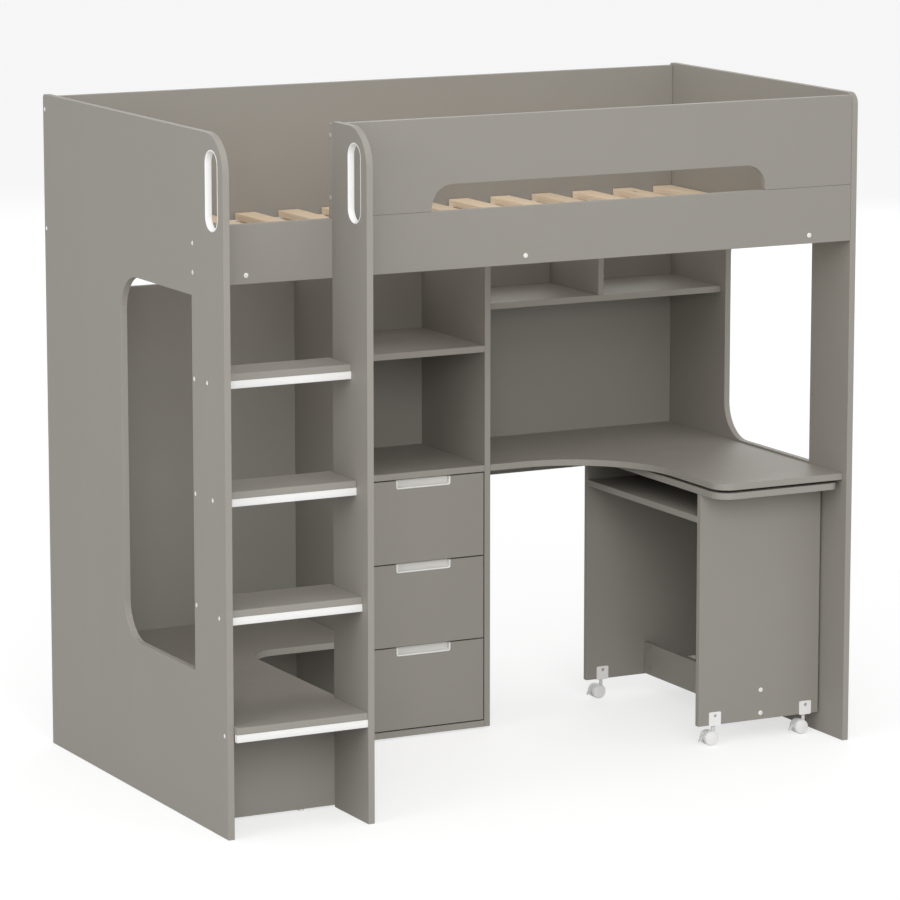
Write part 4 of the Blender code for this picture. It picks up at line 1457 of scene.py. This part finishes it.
@dataclass
class Caster:
    """A twin-wheel caster with its saddle, hooded yoke, wheels and brake lever."""

    palette: Palette
    number: int
    sheet: float = 0.0016
    foot: float = 0.0534
    hood_radius: float = 0.0205
    hood_half: float = 0.0042
    wheel_radius: float = 0.020
    wheel_width: float = 0.0125
    gap: float = 0.0112

    def build(self) -> None:
        """Builds the four moving parts."""
        self.saddle()
        self.yoke()
        self.wheels()
        self.lever()

    def node(self, part: str) -> str:
        """The name of one of the caster's nodes or pieces."""
        return f"caster_{part}_{self.number}"

    def stem(self) -> Point2:
        """The stem's place in X and Y."""
        return middle(self.node("saddle"), Axis.X), middle(self.node("saddle"), Axis.Y)

    def axle(self) -> Vector:
        """The middle of the axle."""
        return Vector([middle(self.node("wheels"), axis) for axis in Axis])

    def saddle(self) -> None:
        """Builds the folded bracket round the panel's foot, its stem and its screws."""
        (x0, x1), (y0, y1), (_, top) = extents(self.node("saddle"))
        x, y = self.stem()
        foot, sheet, past = self.foot, self.sheet, 0.01
        white, zinc = self.palette[Look.WHITE], self.palette[Look.ZINC]
        plate = slot((x0, x1), (foot, top), 0.004)
        bracket = Solid().prism(Plane.XZ, plate, (y0, y1)).piece(self.node("bracket"), white)
        room = Solid().box((x0 - past, x1 + past), (y0 + sheet, y1 - sheet), (foot + sheet, top + past))
        carve(bracket, room.piece("bracket_room", white))
        settle(soften(bracket, 0.0004, 2), BODY_ROLLING, SLOT_WHITE, self.node("saddle"))
        collar, pin = 0.0066, 0.0032
        stem = [(0, -0.0008), (collar, -0.0008), (collar, 0.0007), (pin, 0.0009)]
        stem += [(pin, 0.0094), (0.0026, 0.0100), (0, 0.0100)]
        turned = Solid().turned(Vector((x, y, foot)), Vector((0, 0, -1)), stem)
        settle(turned.piece(self.node("stem"), zinc), BODY_ROLLING, SLOT_GREY)
        screws = Solid()
        for face, out in ((y0, -1), (y1, 1)):
            ScrewHead(0.0042, 0.0016).add(screws, Vector((x, face, top - 0.010)), Vector((0, out, 0)))
        settle(screws.piece(self.node("screws"), zinc), BODY_ROLLING, SLOT_GREY)

    def yoke(self) -> None:
        """Builds the hood between the wheels with the neck that turns on the stem."""
        axle = self.axle()
        x, y = self.stem()
        grey, radius, steps = self.palette[Look.CASTER_GREY], self.hood_radius, 40
        shape: Outline = []
        for step in range(steps + 1):
            angle = math.radians(-12 + 204 * step / steps)
            shape.append((axle.x + radius * math.cos(angle), axle.z + radius * math.sin(angle)))
        shape += [(axle.x - 0.006, axle.z - 0.0048), (axle.x + 0.006, axle.z - 0.0048)]
        hood = Solid().prism(Plane.XZ, shape, (y - self.hood_half, y + self.hood_half))
        hood = hood.piece(self.node("hood"), grey)
        wall, socket = 0.0050, 0.0036
        tube = [(0, 0.029), (wall, 0.029), (wall, 0.0430), (0.0049, 0.0515), (0.0045, 0.0523)]
        tube += [(socket, 0.0523), (socket, 0.0430), (0, 0.0428)]
        neck = Solid().turned(Vector((x, y, 0)), Vector((0, 0, 1)), tube)
        carve(hood, neck.piece("neck", grey), "UNION")
        hole, reach = 0.0029, 0.04
        drill = [(0, 0), (hole, 0), (hole, reach), (0, reach)]
        bore = Solid().turned(axle - Vector((0, reach / 2, 0)), Vector((0, 1, 0)), drill, 24)
        carve(hood, bore.piece("bore", grey))
        settle(soften(hood, 0.0006, 2, 50), f"caster_{self.number}", SLOT_GREY, self.node("yoke"))

    def wheels(self) -> None:
        """Builds the wheels as one turned piece a side, with the tyre set on each."""
        body = f"wheels_{self.number}"
        r, inner, axle_radius, sides = self.wheel_radius, self.gap / 2, 0.0026, 56
        outer = inner + self.wheel_width
        face = [(axle_radius, 0.0), (axle_radius, inner), (0.0075, inner), (0.0085, inner + 0.0006)]
        face += [(r - 0.0028, inner + 0.0006), (r - 0.0028, outer - 0.0014), (r - 0.0036, outer - 0.0006)]
        face += [(r - 0.0044, outer - 0.0003), (r - 0.0052, outer - 0.0009), (r - 0.0062, outer - 0.0009)]
        face += [(r - 0.0075, outer - 0.0004), (r - 0.0110, outer), (0.0, outer)]
        ring = [(r - 0.0030, inner), (r - 0.0010, inner), (r - 0.0002, inner + 0.0009), (r, inner + 0.0024)]
        ring += [(r, outer - 0.0034), (r - 0.0004, outer - 0.0020), (r - 0.0012, outer - 0.0010)]
        ring += [(r - 0.0024, outer - 0.0006), (r - 0.0034, outer - 0.0008), (r - 0.0034, outer - 0.0040)]
        discs, tyres = Solid(), Solid()
        for out in (-1, 1):
            discs.turned(self.axle(), Vector((0, out, 0)), face, sides)
            tyres.turned(self.axle(), Vector((0, out, 0)), [*ring, ring[0]], sides)
        discs = discs.piece(self.node("discs"), self.palette[Look.WHITE], 40)
        settle(discs, body, SLOT_WHITE, self.node("wheels"))
        settle(tyres.piece(self.node("tyres"), self.palette[Look.TYRE], 50), body, SLOT_WHITE)

    def lever(self) -> None:
        """Builds the brake lever from its hinge to its tip."""
        axle = self.axle()
        hinge = (axle.x - 0.0226, axle.z + 0.0040)
        tip = (axle.x - 0.0300, axle.z - 0.0070)
        width = span(self.node("brake"), Axis.Y)
        bar = Solid().prism(Plane.XZ, capsule(hinge, tip, 0.0021), width)
        bar = bar.piece(self.node("lever"), self.palette[Look.CASTER_GREY])
        settle(soften(bar, 0.0006, 2, 50), f"brake_{self.number}", SLOT_GREY, self.node("brake"))


# ---------------------------------------------------------------------------------------------
# Studio
# ---------------------------------------------------------------------------------------------


@dataclass(frozen=True)
class Studio:
    """A white sweep of floor, a white surround, soft lamps and the camera."""

    camera_at: tuple[float, float, float] = (-5.58413, -10.66566, 3.00948)
    heading: float = 0.47832
    dip: float = 0.17932
    lens: float = 181.94
    surround: float = 0.62
    backdrop: float = 0.93
    floor_tone: float = 0.40
    floor_bounce: float = 0.22
    floor_glow: float = 0.66
    floor_size: float = 120

    def build(self) -> None:
        """Sets up everything round the bed."""
        bpy.context.scene.view_settings.view_transform = "Standard"
        self.world()
        self.floor()
        self.lamp("key", (-3.4, -9.2, 5.4), 5.5, 430)
        self.lamp("side", (-9.0, -3.0, 5.2), 5.0, 225)
        self.lamp("overhead", (-0.5, -1.5, 7.0), 4.0, 42)
        self.lamp("back", (6.0, 9.0, 4.6), 6.0, 170)
        self.camera()

    def world(self) -> None:
        """An even white surround, which looks as pale as the floor behind the bed."""
        white = (1, 1, 1, 1)
        world = bpy.data.worlds.new("surround")
        bpy.context.scene.world = world
        world.use_nodes = True
        tree = Tree(world.node_tree)
        back = world.node_tree.nodes["Background"]
        back.inputs["Color"].default_value = white
        seen = tree.add("LightPath").outputs["Is Camera Ray"]
        strength = tree.spread(seen, 0, 1, (self.surround, self.backdrop))
        tree.feed(back.inputs["Strength"], strength)

    def floor(self) -> None:
        """A very large plain pale floor."""
        work = bmesh.new()
        bmesh.ops.create_grid(work, x_segments=8, y_segments=8, size=self.floor_size)
        mesh = bpy.data.meshes.new("floor")
        work.to_mesh(mesh)
        work.free()
        made, tree, shader = new_material("pale_floor")
        shader.inputs["Base Color"].default_value = (*(self.floor_tone,) * 3, 1)
        shader.inputs["Roughness"].default_value = 0.9
        shader.inputs["Specular IOR Level"].default_value = 0.1
        shader.inputs["Emission Color"].default_value = (1, 1, 1, 1)
        seen = tree.add("LightPath").outputs["Is Camera Ray"]
        glow = tree.spread(seen, 0, 1, (self.floor_bounce, self.floor_glow))
        tree.feed(shader.inputs["Emission Strength"], glow)
        mesh.materials.append(made)
        floor = bpy.data.objects.new("floor", mesh)
        floor.location.z = -FLOOR_DROP
        bpy.context.scene.collection.objects.link(floor)

    @staticmethod
    def lamp(name: str, place: tuple[float, float, float], size: float, power: float) -> None:
        """A square soft lamp aimed at the middle of the bed."""
        light = bpy.data.lights.new(name, "AREA")
        light.shape = "SQUARE"
        light.size = size
        light.energy = power
        lamp = bpy.data.objects.new(name, light)
        lamp.location = place
        toward = Vector((0, 0, AIM_HEIGHT)) - Vector(place)
        lamp.rotation_euler = toward.to_track_quat("-Z", "Y").to_euler()
        bpy.context.scene.collection.objects.link(lamp)

    def camera(self) -> None:
        """The long-lens camera from the front left."""
        data = bpy.data.cameras.new("camera")
        data.sensor_width = 36
        data.lens = self.lens
        data.clip_end = 400
        camera = bpy.data.objects.new("camera", data)
        ahead = Vector((
            math.sin(self.heading) * math.cos(self.dip),
            math.cos(self.heading) * math.cos(self.dip),
            -math.sin(self.dip),
        ))
        camera.location = self.camera_at
        camera.rotation_euler = ahead.to_track_quat("-Z", "Y").to_euler()
        bpy.context.scene.collection.objects.link(camera)
        bpy.context.scene.camera = camera


def replaced_nodes() -> list[str]:
    """The nodes that finer pieces stand for."""
    names = ["slat_base", "grip_liner_left", "grip_liner_right"]
    names += [f"tread_strip_{number}" for number in range(1, 5)]
    names += [f"{kind}_{number}" for kind in ("drawer_pull", "drawer_box") for number in range(1, 4)]
    kinds = ("caster_saddle", "caster_yoke", "caster_wheels", "caster_brake")
    return names + [f"{kind}_{number}" for kind in kinds for number in range(1, 5)]


def main() -> None:
    """Builds the bed piece by piece, then the studio round it."""
    logging.basicConfig(level=logging.INFO, format="%(name)s: %(message)s")
    palette = Palette()
    Studio().build()
    Boards(palette, replaced_nodes()).build()
    SlatBase(palette).build()
    for node in ("grip_liner_left", "grip_liner_right"):
        GripLiner(palette).build(node)
    for number in range(1, 5):
        TreadStrip(palette).build(number)
    for number in range(1, 4):
        Drawer(palette, number).build()
    for number in range(1, 5):
        Caster(palette, number).build()
    Fixings(palette).build()


if __name__ == "__main__":
    main()
